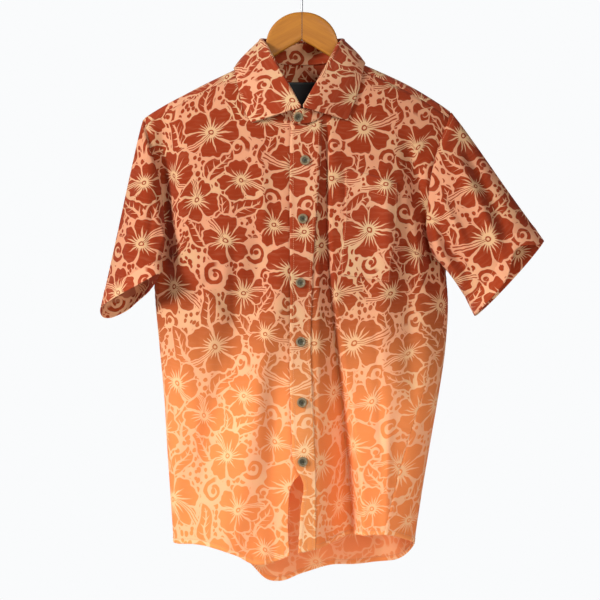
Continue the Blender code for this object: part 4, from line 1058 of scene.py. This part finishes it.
def hook(material):
    """The wire: straight up from the crown, out and over in an open ring.

    It is a tube: circles about a level path and square to it.
    """
    radius = HOOK_RADIUS + WIRE_RADIUS
    turn = np.radians(np.linspace(*HOOK_TURN, 20))
    ring = np.stack([radius * np.cos(turn), HOOK_RISE - HOOK_RADIUS + radius * np.sin(turn)], 1)
    x, rise = finer(np.concatenate([SHANK, ring]), 200).T
    path, side = np.stack([x, 0 * x, -rise], 1), np.array([0, 1.0, 0])
    across = unit(np.cross(unit(np.gradient(path, axis=0)), side))
    turn = np.linspace(0, LOOP, 20, endpoint=False)[:, None, None]
    net = path[None] + WIRE_RADIUS * (np.cos(turn) * side + np.sin(turn) * across[None])
    closed_tube("steel_hook", net, material, "hook")


def button(number, centre, axis, material):
    """A sew-through button: a turned profile whose dished middle sinks smoothly at four holes.

    Gives back what its thread needs: centre, axis, and the middles of its holes about the centre.
    """
    radius, height = finer(BUTTON_PROFILE, BUTTON_RINGS).T
    axis = unit(axis)
    first = unit(np.cross(axis, (0, 0, 1.0)))
    second = np.cross(axis, first)
    turn = np.linspace(0, LOOP, 64, endpoint=False)[:, None]
    x, y = np.cos(turn) * radius, np.sin(turn) * radius
    height = height + 0 * x
    holes = []
    for corner in range(HOLES["number"]):
        angle = BUTTON_SPIN * number + corner * LOOP / HOLES["number"]
        hole = HOLES["out"] * np.array([np.cos(angle), np.sin(angle)])
        sink = ramp((HOLES["radius"] - np.hypot(x - hole[0], y - hole[1])) / HOLES["soft"])
        height = height - HOLES["deep"] * sink * (np.arange(BUTTON_RINGS) < TOP_RINGS)
        holes.append(hole[0] * first + hole[1] * second)
    net = centre + x[..., None] * first + y[..., None] * second + height[..., None] * axis
    closed_tube("shell_button_%d" % number, net, material, "button_%d" % number,
                {"from_middle": np.append(np.hypot(x, y), (0, 0))})
    return centre, axis, holes


def buttons(front, stand, material):
    """One button on the stand's lapped end, then six down the placket."""
    row = STAND_LINES // 2
    axis = stand.normals[STAND_PAST, row]
    places = [(stand.net[STAND_PAST // 2, row] + (BAND / 2 + BUTTON_GAP) * axis, axis)]
    line = np.concatenate([front.net[FINE], front.normals[FINE], front.lift[FINE][:, None]], 1)
    for x, drop in BUTTONS:
        at = np.array([np.interp(drop, line[:, 2], column) for column in line.T])
        axis = unit(at[3:6])
        places.append(((x, at[1], at[2]) + (at[6] + LAYER + CLOTH / 2 + BUTTON_GAP) * axis, axis))
    return [button(number, centre, axis, material) for number, (centre, axis) in enumerate(places, 1)]


# ---------------------------------------------------------------- sewing

def inset_line(net, normals, lift, edge, distance):
    """The line that keeps a distance from one border of a net, raised by a lift along the normals.

    In each row across that border, the point lies between the two net points whose lengths from the
    border enclose the distance, by the same share.
    """
    both = np.concatenate([net, normals, (np.zeros(net.shape[:2]) + lift)[..., None]], -1)
    if edge in ("top", "foot"):
        both = both.swapaxes(0, 1)
    if edge in ("finish", "foot"):
        both = both[::-1]
    far = lengths(both[..., :3], 0)
    cell = np.clip((far < distance).sum(0) - 1, 0, len(far) - 2)
    row = np.arange(far.shape[1])
    share = (distance - far[cell, row]) / (far[cell + 1, row] - far[cell, row])
    line = both[cell, row] + (both[cell + 1, row] - both[cell, row]) * share[:, None]
    return line[:, :3] + line[:, 3:6] * line[:, 6:], unit(line[:, 3:6])


def sewn(cloth, edges, distance, above, ends=0.0):
    """Stitch lines at a distance from some borders of a piece, above its middle, short of its ends."""
    lines = [inset_line(cloth.net, cloth.normals, cloth.lift + above, edge, distance) for edge in edges]
    if not ends:
        return lines
    alongs = [lengths(points, 0) for points, _ in lines]
    keeps = [(along > ends) & (along < along[-1] - ends) for along in alongs]
    return [(points[keep], normals[keep]) for (points, normals), keep in zip(lines, keeps)]


def stitches(name, lines, material, pitch=3.0, long=2.3, radius=0.24):
    """Rows of stitches: each is a small capsule of four rings of five points, half sunk in the cloth.

    A ring's points are centre + radius * (cos(turn) * sideways + sin(turn) * normal), and the rings
    follow the line that the row is sewn on.
    """
    around = np.linspace(0, LOOP, 5, endpoint=False)
    share, slim = np.array([-0.5, -0.3, 0.3, 0.5]), np.array([0.4, 1, 1, 0.4])
    height = np.array([-0.25, 0.25, 0.25, -0.25])[None, :, None] * radius
    blocks = []
    for points, normals in lines:
        along = lengths(points, 0)
        at = np.arange(pitch / 2, along[-1] - pitch / 2, pitch)[:, None] + long * share
        place, normal = (np.stack([np.interp(at, along, column) for column in columns.T], -1)
                         for columns in (points, normals))
        normal = unit(normal)
        sideways = unit(np.cross(unit(place[:, -1:] - place[:, :1]), normal))
        ring = np.cos(around)[:, None] * sideways[:, :, None] + np.sin(around)[:, None] * normal[:, :, None]
        blocks.append((place + normal * height)[:, :, None] + radius * slim[None, :, None, None] * ring)
    rings = np.concatenate(blocks)
    k, j = [grid.ravel() for grid in np.meshgrid(np.arange(3), np.arange(5), indexing="ij")]
    after = (j + 1) % 5
    quads = np.stack([k * 5 + j, k * 5 + after, k * 5 + 5 + after, k * 5 + 5 + j], 1)
    ends = np.array([[4, 3, 2, 1, 0], [15, 16, 17, 18, 19]])
    first = np.arange(len(rings))[:, None, None] * 20
    faces = [(first + quads).reshape(-1, 4), (first + ends).reshape(-1, 5)]
    add_piece(name, rings.reshape(-1, 3), faces, material)


def button_thread(number, centre, axis, holes, material):
    """Two crossed stitches through a button's four holes: a tube along a low arch from hole to hole."""
    share = np.linspace(-1, 1, 9)[:, None]
    lines = [centre + share * hole + axis * (1.45 - 1.3 * np.abs(share) ** 6 + 0.3 * above)
             for above, hole in enumerate(holes[:2])]
    stitches("button_thread_%d" % number, [(line, np.broadcast_to(axis, line.shape)) for line in lines],
             material, pitch=3.9, long=3.6, radius=0.42)


def sew(left, right, behind, over, sleeves, leaf, button_band, patch_pocket):
    """Every row of stitches that shows: edges, hems, cuffs, armholes and the yoke's seams."""
    thread = spun_thread("spun_thread_peach", "#E6A172")
    sides, top = ("start", "foot", "finish"), CLOTH / 2
    stitches("stitches_collar", sewn(leaf, sides, EDGE_STITCH, leaf.thick / 2, EDGE_STITCH), thread)
    stitches("stitches_placket", sewn(button_band, ("start", "finish"), EDGE_STITCH, button_band.thick / 2),
             thread)
    above = patch_pocket.thick / 2
    stitches("stitches_pocket", sewn(patch_pocket, sides, POCKET_STITCH, above)
             + sewn(patch_pocket, ("top",), POCKET_TOP, above), thread)
    for name, made in (("left", left), ("right", right), ("back", behind)):
        rows = [sewn(made, ("foot",), HEM_WIDTH, above, 2)[0] for above in (top + 0.3, -top - 0.3)]
        stitches("stitches_hem_" + name, rows, thread)
    stitches("stitches_yoke", sewn(over, ("foot",), 3.0, top, 2), thread)
    for side, made in sleeves.items():
        ring, out, lift = (np.concatenate([value, value[:1]]) for value in made[1:4])
        closed = made._replace(net=ring, normals=out, lift=lift)
        stitches("stitches_sleeve_" + side, sewn(closed, ("foot",), CUFF_WIDTH, top + CUFF_MORE / 2)
                 + sewn(closed, ("top",), ARMHOLE_STITCH, top), thread)


# ---------------------------------------------------------------- finishes

def linear(code):
    """An sRGB hex colour as linear RGBA."""
    value = np.array([int(code[k:k + 2], 16) for k in (1, 3, 5)]) / 255
    return (*np.where(value <= 0.04045, value / 12.92, ((value + 0.055) / 1.055) ** 2.4), 1.0)


def node(tree, kind, inputs=(), output=0, **settings):
    """Add one node: its settings, the constants on its own sockets and its links.

    Gives the output asked for, or a list where several are. A Mix node's pair of values is 2 and 3
    for numbers, 4 and 5 for vectors and 6 and 7 for colours, with output 0, 1 or 2.
    """
    made = tree.nodes.new("ShaderNode" + kind)
    for name, value in settings.items():
        setattr(made, name, value)
    for key, value in inputs.items() if isinstance(inputs, dict) else enumerate(inputs):
        if isinstance(value, Term):
            tree.links.new(value.socket, made.inputs[key])
        else:
            made.inputs[key].default_value = value
    if isinstance(output, tuple):
        return [Term(tree, made.outputs[number]) for number in output]
    return Term(tree, made.outputs[output])


class Term:
    """A node's output that is reckoned with as a number is; every step adds one Math node."""

    def __init__(self, tree, socket):
        self.tree, self.socket = tree, socket

    def math(self, operation, *others, clamp=False):
        return node(self.tree, "Math", (self, *others), operation=operation, use_clamp=clamp)

    __add__, __sub__ = partialmethod(math, "ADD"), partialmethod(math, "SUBTRACT")
    __mul__, __truediv__ = partialmethod(math, "MULTIPLY"), partialmethod(math, "DIVIDE")
    __pow__, __abs__ = partialmethod(math, "POWER"), partialmethod(math, "ABSOLUTE")
    least, most = partialmethod(math, "MINIMUM"), partialmethod(math, "MAXIMUM")

    def __rsub__(self, other):
        return node(self.tree, "Math", (other, self), operation="SUBTRACT")

    def times(self, factor, more, clamp=False):
        """factor * this + more, in one node."""
        return self.math("MULTIPLY_ADD", factor, more, clamp=clamp)

    def sine(self, turns, start=0.0):
        """The sine of this, counted in turns."""
        return self.times(turns * LOOP, start).math("SINE")

    def below(self, edge, soft):
        """1 where this is less than the edge, falling to 0 over a soft width about it."""
        return (edge - self).times(1 / soft, 0.5, clamp=True)


def nearest(place, motifs):
    """The motif that a place of the repeat is nearest to, in shares of its size.

    Gives the place as that motif sees it (z holds its number) and the nearest two distances.
    """
    tree, (wide, tall) = place.tree, [side / 2 for side in REPEAT]
    found = first = second = None
    for number, (x, y, size, degrees) in enumerate(motifs, 1):
        moved = node(tree, "VectorMath", (place, (x + wide, y + tall, 1), (x - wide, y - tall, -1)),
                     operation="WRAP")
        seen = node(tree, "Mapping", (moved, (x, y, -number), (0, 0, np.radians(degrees)), (size, size, 1)),
                    vector_type="TEXTURE")
        far = node(tree, "VectorMath", (seen, (0, 0, number)), 1, operation="DISTANCE")
        if found is None:
            found, first = seen, far
            continue
        nearer = far.math("LESS_THAN", first)
        found = node(tree, "Mix", {0: nearer, 4: found, 5: seen}, 1, data_type="VECTOR")
        farther = far.most(first)
        second = farther if second is None else second.least(farther)
        first = first.least(far)
    return found, first, second


def polar(place):
    """Distance and the turn about the middle, from -0.5 to 0.5, then x, y and the motif's number."""
    x, y, number = node(place.tree, "SeparateXYZ", (place,), XYZ)
    middle = node(place.tree, "CombineXYZ", {2: number})
    far = node(place.tree, "VectorMath", (place, middle), 1, operation="DISTANCE")
    return far, y.math("ARCTAN2", x) / LOOP, x, y, number


def flower(place):
    """Ink and reach of a flower with five broad petals.

    A petal is ink out to 0.93 - 4.6 * (share of the way to its seam)^4 plus the scallops, which are
    three sines of the turn, less the gaps between petals, which widen outwards. Twenty rays of bare
    ground thin out from the middle, each as long as its cell's chance says. A small ring of ink is
    the eye. The stamen is a curved band along +x, bare ground with three lines of ink, which runs out
    past the petals.
    """
    far, turn, x, y, number = polar(place)
    swing = turn.sine(2, number * 5) * 0.030 + turn + far * 0.035
    to_seam = abs(swing.times(5, 0).math("FRACT") - 0.5)
    to_seam_2 = to_seam * to_seam
    scallop = turn.sine(19, number * 3) * 0.024 + turn.sine(11, number * 7) * 0.030
    scallop = scallop + turn.sine(2, number) * 0.06
    edge = scallop + 0.93 - to_seam_2 * to_seam_2 * 4.6
    reach = far.below(edge + 0.075, 0.03)
    gap = (0.5 - to_seam) * far * 1.26
    petals = far.below(edge, 0.02) * (1 - gap.below(far.times(0.085, -0.012).most(0.016), 0.015))
    cell = turn.times(20, number * 3.7)
    chance = node(place.tree, "TexWhiteNoise", {1: cell.math("FLOOR")}, noise_dimensions="1D")
    long = chance * 0.42 + 0.38 - to_seam * 0.26
    thin = (long - far) / (long - 0.13) * 0.44
    rays = abs(cell.math("FRACT") - 0.5).below(thin, 0.12).most(far.below(0.21, 0.03))
    eye = abs(far - 0.075).below(0.024, 0.016)
    bend = number.times(2.4, 0).math("SINE") * 0.55
    off = y - bend * x * x
    wide = x.times(0.095, 0.045)
    band_reach = abs(off).below(wide, 0.02) * (0 - x).below(0, 0.02) * far.below(1.22, 0.05)
    lines = (off / wide).times(LOOP / 0.9, np.pi).math("COSINE")
    lines = (0 - lines).below(-0.45, 0.35) * abs(off / wide).below(0.93, 0.08) * far.below(1.16, 0.05)
    ink = petals * (1 - rays) * (1 - band_reach)
    return ink.most(eye).most(band_reach * lines * (1 - far.below(0.1, 0.02))), reach.most(band_reach)


def leaf(place):
    """Ink and reach of a pointed leaf along x, bent like an S.

    Its half width is (0.44 - 0.13 x) * (1 - x^2)^0.75, so that it is broadest near its stalk. The
    midrib and the short veins that slant from it towards the tip are bare ground.
    """
    x, y, number = node(place.tree, "SeparateXYZ", (place,), XYZ)
    off = y - x.sine(0.42, 0) * 0.2
    side = abs(off)
    half = (1 - x * x).most(0) ** 0.75 * (0.44 - x * 0.13)
    ink = side.below(half, 0.03)
    reach = side.below(half + 0.1, 0.04) * abs(x).below(1.05, 0.04)
    rib = side.below(0.05 - x * 0.035, 0.025) * x.below(0.72, 0.1)
    slant = (x - side * 0.9).times(2.7, number * 0.37).math("FRACT")
    vein = abs(slant - 0.5).below(0.13 - side / (half + 0.01) * 0.17, 0.05) * x.below(0.6, 0.1)
    return ink * (1 - rib.most(vein)), reach


def scroll(place):
    """Ink and reach of a curl: a spiral band of two turns, thicker outwards, round an ink bud."""
    far, turn = polar(place)[:2]
    turn = turn + 0.5
    value = far * 2.15 - turn
    wound = value.math("FLOOR") + turn
    width = wound * 0.08 + 0.25
    wire = abs(value.math("FRACT") - 0.5).below(width, 0.08) * wound.below(1.22, 0.06) \
        * (0 - wound).below(-0.12, 0.05)
    return wire.most(far.below(0.2, 0.05)), far.below(wound * 0.1 + 0.92, 0.05)


def dots(place):
    """Oval spots of ink of uneven size, 3 to 5 mm long, close together on the ground."""
    tree = place.tree
    oval = node(tree, "VectorMath", (place, (1.0, 0.8, 1.0)), operation="MULTIPLY")
    near, chance = node(tree, "TexVoronoi", {0: oval, "Scale": 1 / 8.4, "Randomness": 0.9}, (0, 1),
                        voronoi_dimensions="2D")
    return near.below(node(tree, "SeparateXYZ", (chance,)) * 0.2 + 0.24, 0.07)


def print_ink(tree):
    """How much of the printed ink lies at a place: flowers over leaves over curls over dots.

    The outlines waver, as a hand-cut screen's do. The second value is how creamy the bare ground is,
    most of all in the flowers' hearts, and the third is the place on the flat cloth in millimetres.
    """
    uv = node(tree, "UVMap", uv_map="cloth")
    place = node(tree, "VectorMath", {0: uv, "Scale": 1 / MM}, operation="SCALE")
    wobble = node(tree, "TexNoise", {0: place, "Scale": 1 / 19, "Detail": 2.0}, 1, noise_dimensions="2D")
    back = node(tree, "VectorMath", (place, (WAVER / 2, WAVER / 2, 0.0)), operation="SUBTRACT")
    place = node(tree, "VectorMath", (wobble, (WAVER, WAVER, 0.0), back), operation="MULTIPLY_ADD")
    seen, first, second = nearest(place, FLOWERS)
    petals, petals_reach = flower(seen)
    petals = petals * (1 - (second - first).below(0.085, 0.03))
    ground = dots(place)
    for draw, motifs in ((scroll, CURLS), (leaf, LEAVES)):
        drawn, reach = draw(nearest(place, motifs)[0])
        ground = node(tree, "Mix", {0: reach, 2: ground, 3: drawn}, data_type="FLOAT")
    ink = node(tree, "Mix", {0: petals_reach, 2: ground, 3: petals}, data_type="FLOAT")
    cloudy = node(tree, "TexNoise", {0: place, "Scale": 1 / 60, "Detail": 1.0}, noise_dimensions="2D")
    pale = first.below(0.42, 0.5).most(cloudy.times(3, -1.35).math("MULTIPLY", 0.8, clamp=True))
    return ink, pale, place


def finish_of(name, constants):
    """A new material and the constants on its Principled shader; gives it, its tree and the shader."""
    material = bpy.data.materials.new(name)
    material.use_nodes = True
    shader = material.node_tree.nodes["Principled BSDF"]
    for socket, value in constants.items():
        shader.inputs[socket].default_value = value
    return material, material.node_tree, shader


def colour_and_relief(tree, shader, colour, height=None, depth=0.0):
    """Link a colour and, where there is one, a height from 0 to 1 over a depth in millimetres."""
    tree.links.new(colour.socket, shader.inputs["Base Color"])
    if height is not None:
        bump = node(tree, "Bump", {"Height": height, "Distance": depth * MM, "Strength": 1.0})
        tree.links.new(bump.socket, shader.inputs["Normal"])


def on_piece(tree, z_share=1.0):
    """Object coordinates in millimetres, with z counted as a share of itself."""
    place = node(tree, "TexCoord", {}, "Object")
    return node(tree, "VectorMath", (place, (1 / MM, 1 / MM, z_share / MM)), operation="MULTIPLY")


def printed_cotton(name, light_through, shaded_share=1.0):
    """Cotton poplin, plain-woven, screen-printed in one ink and dip-dyed from rust to pale orange.

    Weaving gives fine crossing threads that scatter light evenly, with hardly a gloss. Dye paste
    sinks into them, so ink and ground share one surface. Cloth this thin lets light through, which
    makes folds and insides glow; two layers let little through, and their colour is darkened by a
    share, painted shade that keeps them from looking brighter than single cloth. The real threads
    are 0.3 mm apart; they are drawn 1.3 mm apart to show at all.
    """
    material, tree, shader = finish_of(name, {"Roughness": 0.9, "Specular IOR Level": 0.12,
                                              "Sheen Weight": 0.06, "Sheen Roughness": 0.6})
    ink, pale, place = print_ink(tree)
    dye, reverse, turned = [node(tree, "Attribute", {}, 2, attribute_name=label)
                            for label in ("dye", "reverse", "turned")]
    inks, ground, cream = [node(tree, "Mix", {0: dye, 6: linear(top), 7: linear(foot)}, 2, data_type="RGBA")
                           for top, foot in (INK, GROUND, CREAM)]
    ground = node(tree, "Mix", {0: pale, 6: ground, 7: cream}, 2, data_type="RGBA")
    soaked = ink * (1 - reverse * INK_SHORT)
    colour = node(tree, "Mix", {0: soaked, 6: ground, 7: inks}, 2, data_type="RGBA")
    drawn_out = node(tree, "VectorMath", (place, (0.35, 2.2, 1.0)), operation="MULTIPLY")
    slubs = node(tree, "TexNoise", {0: drawn_out, "Scale": 1 / 9, "Detail": 2.0}, noise_dimensions="2D")
    faded = slubs.times(3.2, -1.5).math("MULTIPLY", FADE, clamp=True)
    colour = node(tree, "Mix", {0: faded, 6: colour, 7: linear(FADED)}, 2, data_type="RGBA")
    # Painted shade: doubled cloth's colour is darkened by a share, so that it looks no brighter than single
    # cloth.
    colour = node(tree, "VectorMath", (colour, (shaded_share,) * 3), operation="MULTIPLY")
    u, v = node(tree, "SeparateXYZ", (place,), XYZ[:2])
    weave = u.sine(1 / THREADS_APART) * v.sine(1 / THREADS_APART)
    colour_and_relief(tree, shader, colour, weave.times(0.5, 0.5), THREAD_RELIEF)
    through = node(tree, "BsdfTranslucent", (colour,))
    share = turned.times(-HEM_HOLDS_BACK * light_through, light_through)
    both = node(tree, "MixShader", (share, Term(tree, shader.outputs[0]), through))
    tree.links.new(both.socket, tree.nodes["Material Output"].inputs["Surface"])
    return material


def woven_label():
    """Polyester satin, woven narrow and folded in: long floats give a soft gloss across fine ribs.

    The ribs are 0.4 mm apart; they are drawn 1.2 mm apart to show.
    """
    material, tree, shader = finish_of("woven_satin_ribbon",
                                       {"Roughness": 0.42, "Specular IOR Level": 0.35})
    uv = node(tree, "UVMap", uv_map="cloth")
    place = node(tree, "VectorMath", (uv, (1 / MM, 1 / MM, 1.0)), operation="MULTIPLY")
    v = node(tree, "SeparateXYZ", (place,), 1)
    edge = (0 - v).below(LABEL["top"] + 2.6, 0.6)
    colour = node(tree, "Mix", {0: edge, 6: linear("#0A0B0C"), 7: linear("#2B302E")}, 2, data_type="RGBA")
    colour_and_relief(tree, shader, colour, v.sine(1 / 1.2), 0.04)
    return material


def varnished_wood():
    """Beech, sawn flat and dipped in honey varnish: darker pores and streaks run along each arm
    under an even gloss, and the two arms meet in a thin dark line of glue."""
    material, tree, shader = finish_of("varnished_beech", {"Roughness": 0.6, "Specular IOR Level": 0.3,
                                                           "Coat Weight": 0.2, "Coat Roughness": 0.2})
    x, y, z = node(tree, "SeparateXYZ", (on_piece(tree),), XYZ)
    out = abs(x)
    along, over = out * 0.88 - z * 0.47, z * 0.88 + out * 0.47
    drawn_out = node(tree, "CombineXYZ", (along * 0.07, y * 0.6, over))
    streaks = node(tree, "TexNoise", {0: drawn_out, "Scale": 1 / 2.6, "Detail": 3.0})
    broad = node(tree, "TexNoise", {0: drawn_out, "Scale": 1 / 14, "Detail": 1.0})
    grain = streaks.times(1.6, -0.6) * 0.6 + broad.times(2.0, -0.7).math("MULTIPLY", 0.5, clamp=True)
    grain = grain.math("MULTIPLY", 1.0, clamp=True)
    colour = node(tree, "Mix", {0: grain, 6: linear("#B0701E"), 7: linear("#8C5012")}, 2, data_type="RGBA")
    glue = out.below(0.55, 0.3)
    colour = node(tree, "Mix", {0: glue, 6: colour, 7: linear("#4A2A12")}, 2, data_type="RGBA")
    colour_and_relief(tree, shader, colour, streaks, 0.05)
    return material


def coconut_shell():
    """Coconut shell, turned on a lathe and tumbled smooth: the dish stays dark brown, the raised rim is
    painted paler as a painted highlight, and short fibres fleck both."""
    material, tree, shader = finish_of("turned_coconut_shell", {"Roughness": 0.38})
    far = node(tree, "Attribute", {}, 2, attribute_name="from_middle")
    flecks = node(tree, "TexNoise", {0: on_piece(tree, 0.3), "Scale": 1 / 0.9, "Detail": 2.0})
    # Painted highlight: the raised rim, from about 5.1 mm out, is painted paler, as light falls on it.
    rim = 1 - (far + flecks).below(5.1, 0.9)
    mottle = flecks.times(2.4, -0.7).math("MULTIPLY", 1.0, clamp=True)
    dish = node(tree, "Mix", {0: mottle, 6: linear("#332B1A"), 7: linear("#5E5438")}, 2, data_type="RGBA")
    colour = node(tree, "Mix", {0: rim, 6: dish, 7: linear("#776649")}, 2, data_type="RGBA")
    colour_and_relief(tree, shader, colour, flecks, 0.06)
    return material


def spun_thread(name, code):
    """Polyester sewing thread, two plies spun round each other, with a dull gloss: the twist's shading
    is painted into its colour as slanting lighter and darker bands.
    """
    material, tree, shader = finish_of(name, {"Roughness": 0.55, "Specular IOR Level": 0.35})
    x, y, z = node(tree, "SeparateXYZ", (on_piece(tree),), XYZ)
    # Painted shading of the twist: slanting bands where the colour is darker.
    twist_shade = (x + z + y).sine(1 / 0.5).times(0.5, 0.5)
    light = linear(code)
    dark = (*[part * 0.7 for part in light[:3]], 1.0)
    colour_and_relief(tree, shader, node(tree, "Mix", {0: twist_shade, 6: light, 7: dark}, 2, data_type="RGBA"))
    return material


def plated_steel():
    """Steel wire, drawn through a die and plated: a grey mirror blurred along by faint die lines."""
    material, tree, shader = finish_of("plated_steel_wire", {"Roughness": 0.3, "Metallic": 1.0})
    lines = node(tree, "TexNoise", {0: on_piece(tree, 0.05), "Scale": 1 / 0.5, "Detail": 1.0})
    colour = node(tree, "Mix", {0: lines, 6: linear("#8E8F92"), 7: linear("#77787B")}, 2, data_type="RGBA")
    colour_and_relief(tree, shader, colour, lines, 0.02)
    return material


def painted_floor():
    """Emulsion paint, rolled: flat, pale and a little mottled."""
    material, tree, shader = finish_of("rolled_emulsion_paint", {"Roughness": 0.85})
    place = node(tree, "TexCoord", {}, "Object")
    mottle = node(tree, "TexNoise", {0: place, "Scale": 3.0, "Detail": 2.0})
    colour = node(tree, "Mix", {0: mottle, 6: linear("#E6E6E6"), 7: linear("#EAEAEA")}, 2, data_type="RGBA")
    colour_and_relief(tree, shader, colour)
    return material


# ---------------------------------------------------------------- stage, light, camera

def stage():
    """A pale floor well below the hanging shirt, a bright even surround and soft lamps."""
    mesh = bpy.data.meshes.new("floor")
    turn = np.linspace(0, LOOP, 96, endpoint=False)
    rim = np.stack([FLOOR_RADIUS * np.cos(turn), FLOOR_RADIUS * np.sin(turn), 0 * turn - FLOOR_DROP], 1)
    mesh.from_pydata(rim.tolist(), [], [list(range(96))])
    floor = bpy.data.objects.new("floor", mesh)
    bpy.context.collection.objects.link(floor)
    mesh.materials.append(painted_floor())
    surround()
    for name, place, size, power in LAMPS:
        lamp = bpy.data.lights.new(name, "AREA")
        lamp.energy, lamp.size = power, size
        thing = bpy.data.objects.new(name, lamp)
        thing.location = place
        aim = Vector(LAMPS_AIM) - thing.location
        thing.rotation_euler = aim.to_track_quat("-Z", "Y").to_euler()
        bpy.context.collection.objects.link(thing)


def surround():
    """An even surround: near white where it is seen, weaker as the light that it sheds."""
    world = bpy.data.worlds.new("surround")
    bpy.context.scene.world = world
    world.use_nodes = True
    tree = world.node_tree
    seen = node(tree, "LightPath")
    shades = [node(tree, "Background", (linear(code), strength)) for code, strength in (AMBIENT, BACKDROP)]
    mixed = node(tree, "MixShader", (seen, *shades))
    tree.links.new(mixed.socket, tree.nodes["World Output"].inputs["Surface"])


def camera():
    """A level camera in front of the shirt's middle."""
    lens = bpy.data.cameras.new("camera")
    lens.sensor_width = CAMERA["sensor"]
    lens.lens = CAMERA["sensor"] * CAMERA["away"] / CAMERA["frame"]
    thing = bpy.data.objects.new("camera", lens)
    thing.location = (CAMERA["x"], -CAMERA["away"], CAMERA["z"])
    thing.rotation_euler = (np.pi / 2, 0, 0)
    bpy.context.collection.objects.link(thing)
    bpy.context.scene.camera = thing
    bpy.context.scene.view_settings.view_transform = "Standard"


def measure(cloth, closed=False):
    """The piece as a hung sheet: its net's longest lengths both ways and its cells' cross products, not
    given back.
    """
    ring = np.concatenate([cloth.net, cloth.net[:1]]) if closed else cloth.net
    width, length = lengths(ring, 0)[-1].max() * MM, lengths(ring, 1)[:, -1].max() * MM
    cross = np.cross(ring[1:, :-1] - ring[:-1, :-1], ring[:-1, 1:] - ring[:-1, :-1])


def main():
    cotton = printed_cotton("printed_cotton_poplin", LIGHT_THROUGH["single"])
    # Doubled cloth lets less light through, and its colour is darkened as painted shade.
    doubled = printed_cotton("printed_cotton_doubled_shaded", LIGHT_THROUGH["doubled"], DOUBLED_SHADE)
    arm_foot = fine(ROWS_ABOVE)
    left, right = [panel("front_" + side, round_body, front_net(side), cotton, (0, arm_foot),
                         lap=SIGN[side]) for side in SIGN]
    behind = panel("back", round_body, back_net(), cotton, (sum(COLUMNS["back"]) // 2 * FINE, arm_foot))
    net = yoke_net()
    over = panel("yoke", over_shoulder, net, doubled, (len(net) // 2, fine(YOKE_ROWS) - 1), hem=0)
    sleeves = {side: sleeve(side, cotton) for side in SIGN}
    leaf, stand = collar(doubled), collar_stand(doubled)
    button_band, patch_pocket = placket(left, doubled), pocket(left, doubled)
    label = neck_label(woven_label())
    for cloth in (left, right, behind, over, leaf, stand, button_band, patch_pocket, label):
        measure(cloth)
    for cloth in sleeves.values():
        measure(cloth, closed=True)
    wood = varnished_wood()
    for side in SIGN:
        hanger_half(side, wood)
    hook(plated_steel())
    dark_thread = spun_thread("spun_thread_olive", "#3A3626")
    for number, (centre, axis, holes) in enumerate(buttons(left, stand, coconut_shell()), 1):
        button_thread(number, centre, axis, holes, dark_thread)
    sew(left, right, behind, over, sleeves, leaf, button_band, patch_pocket)
    stage()
    camera()


main()
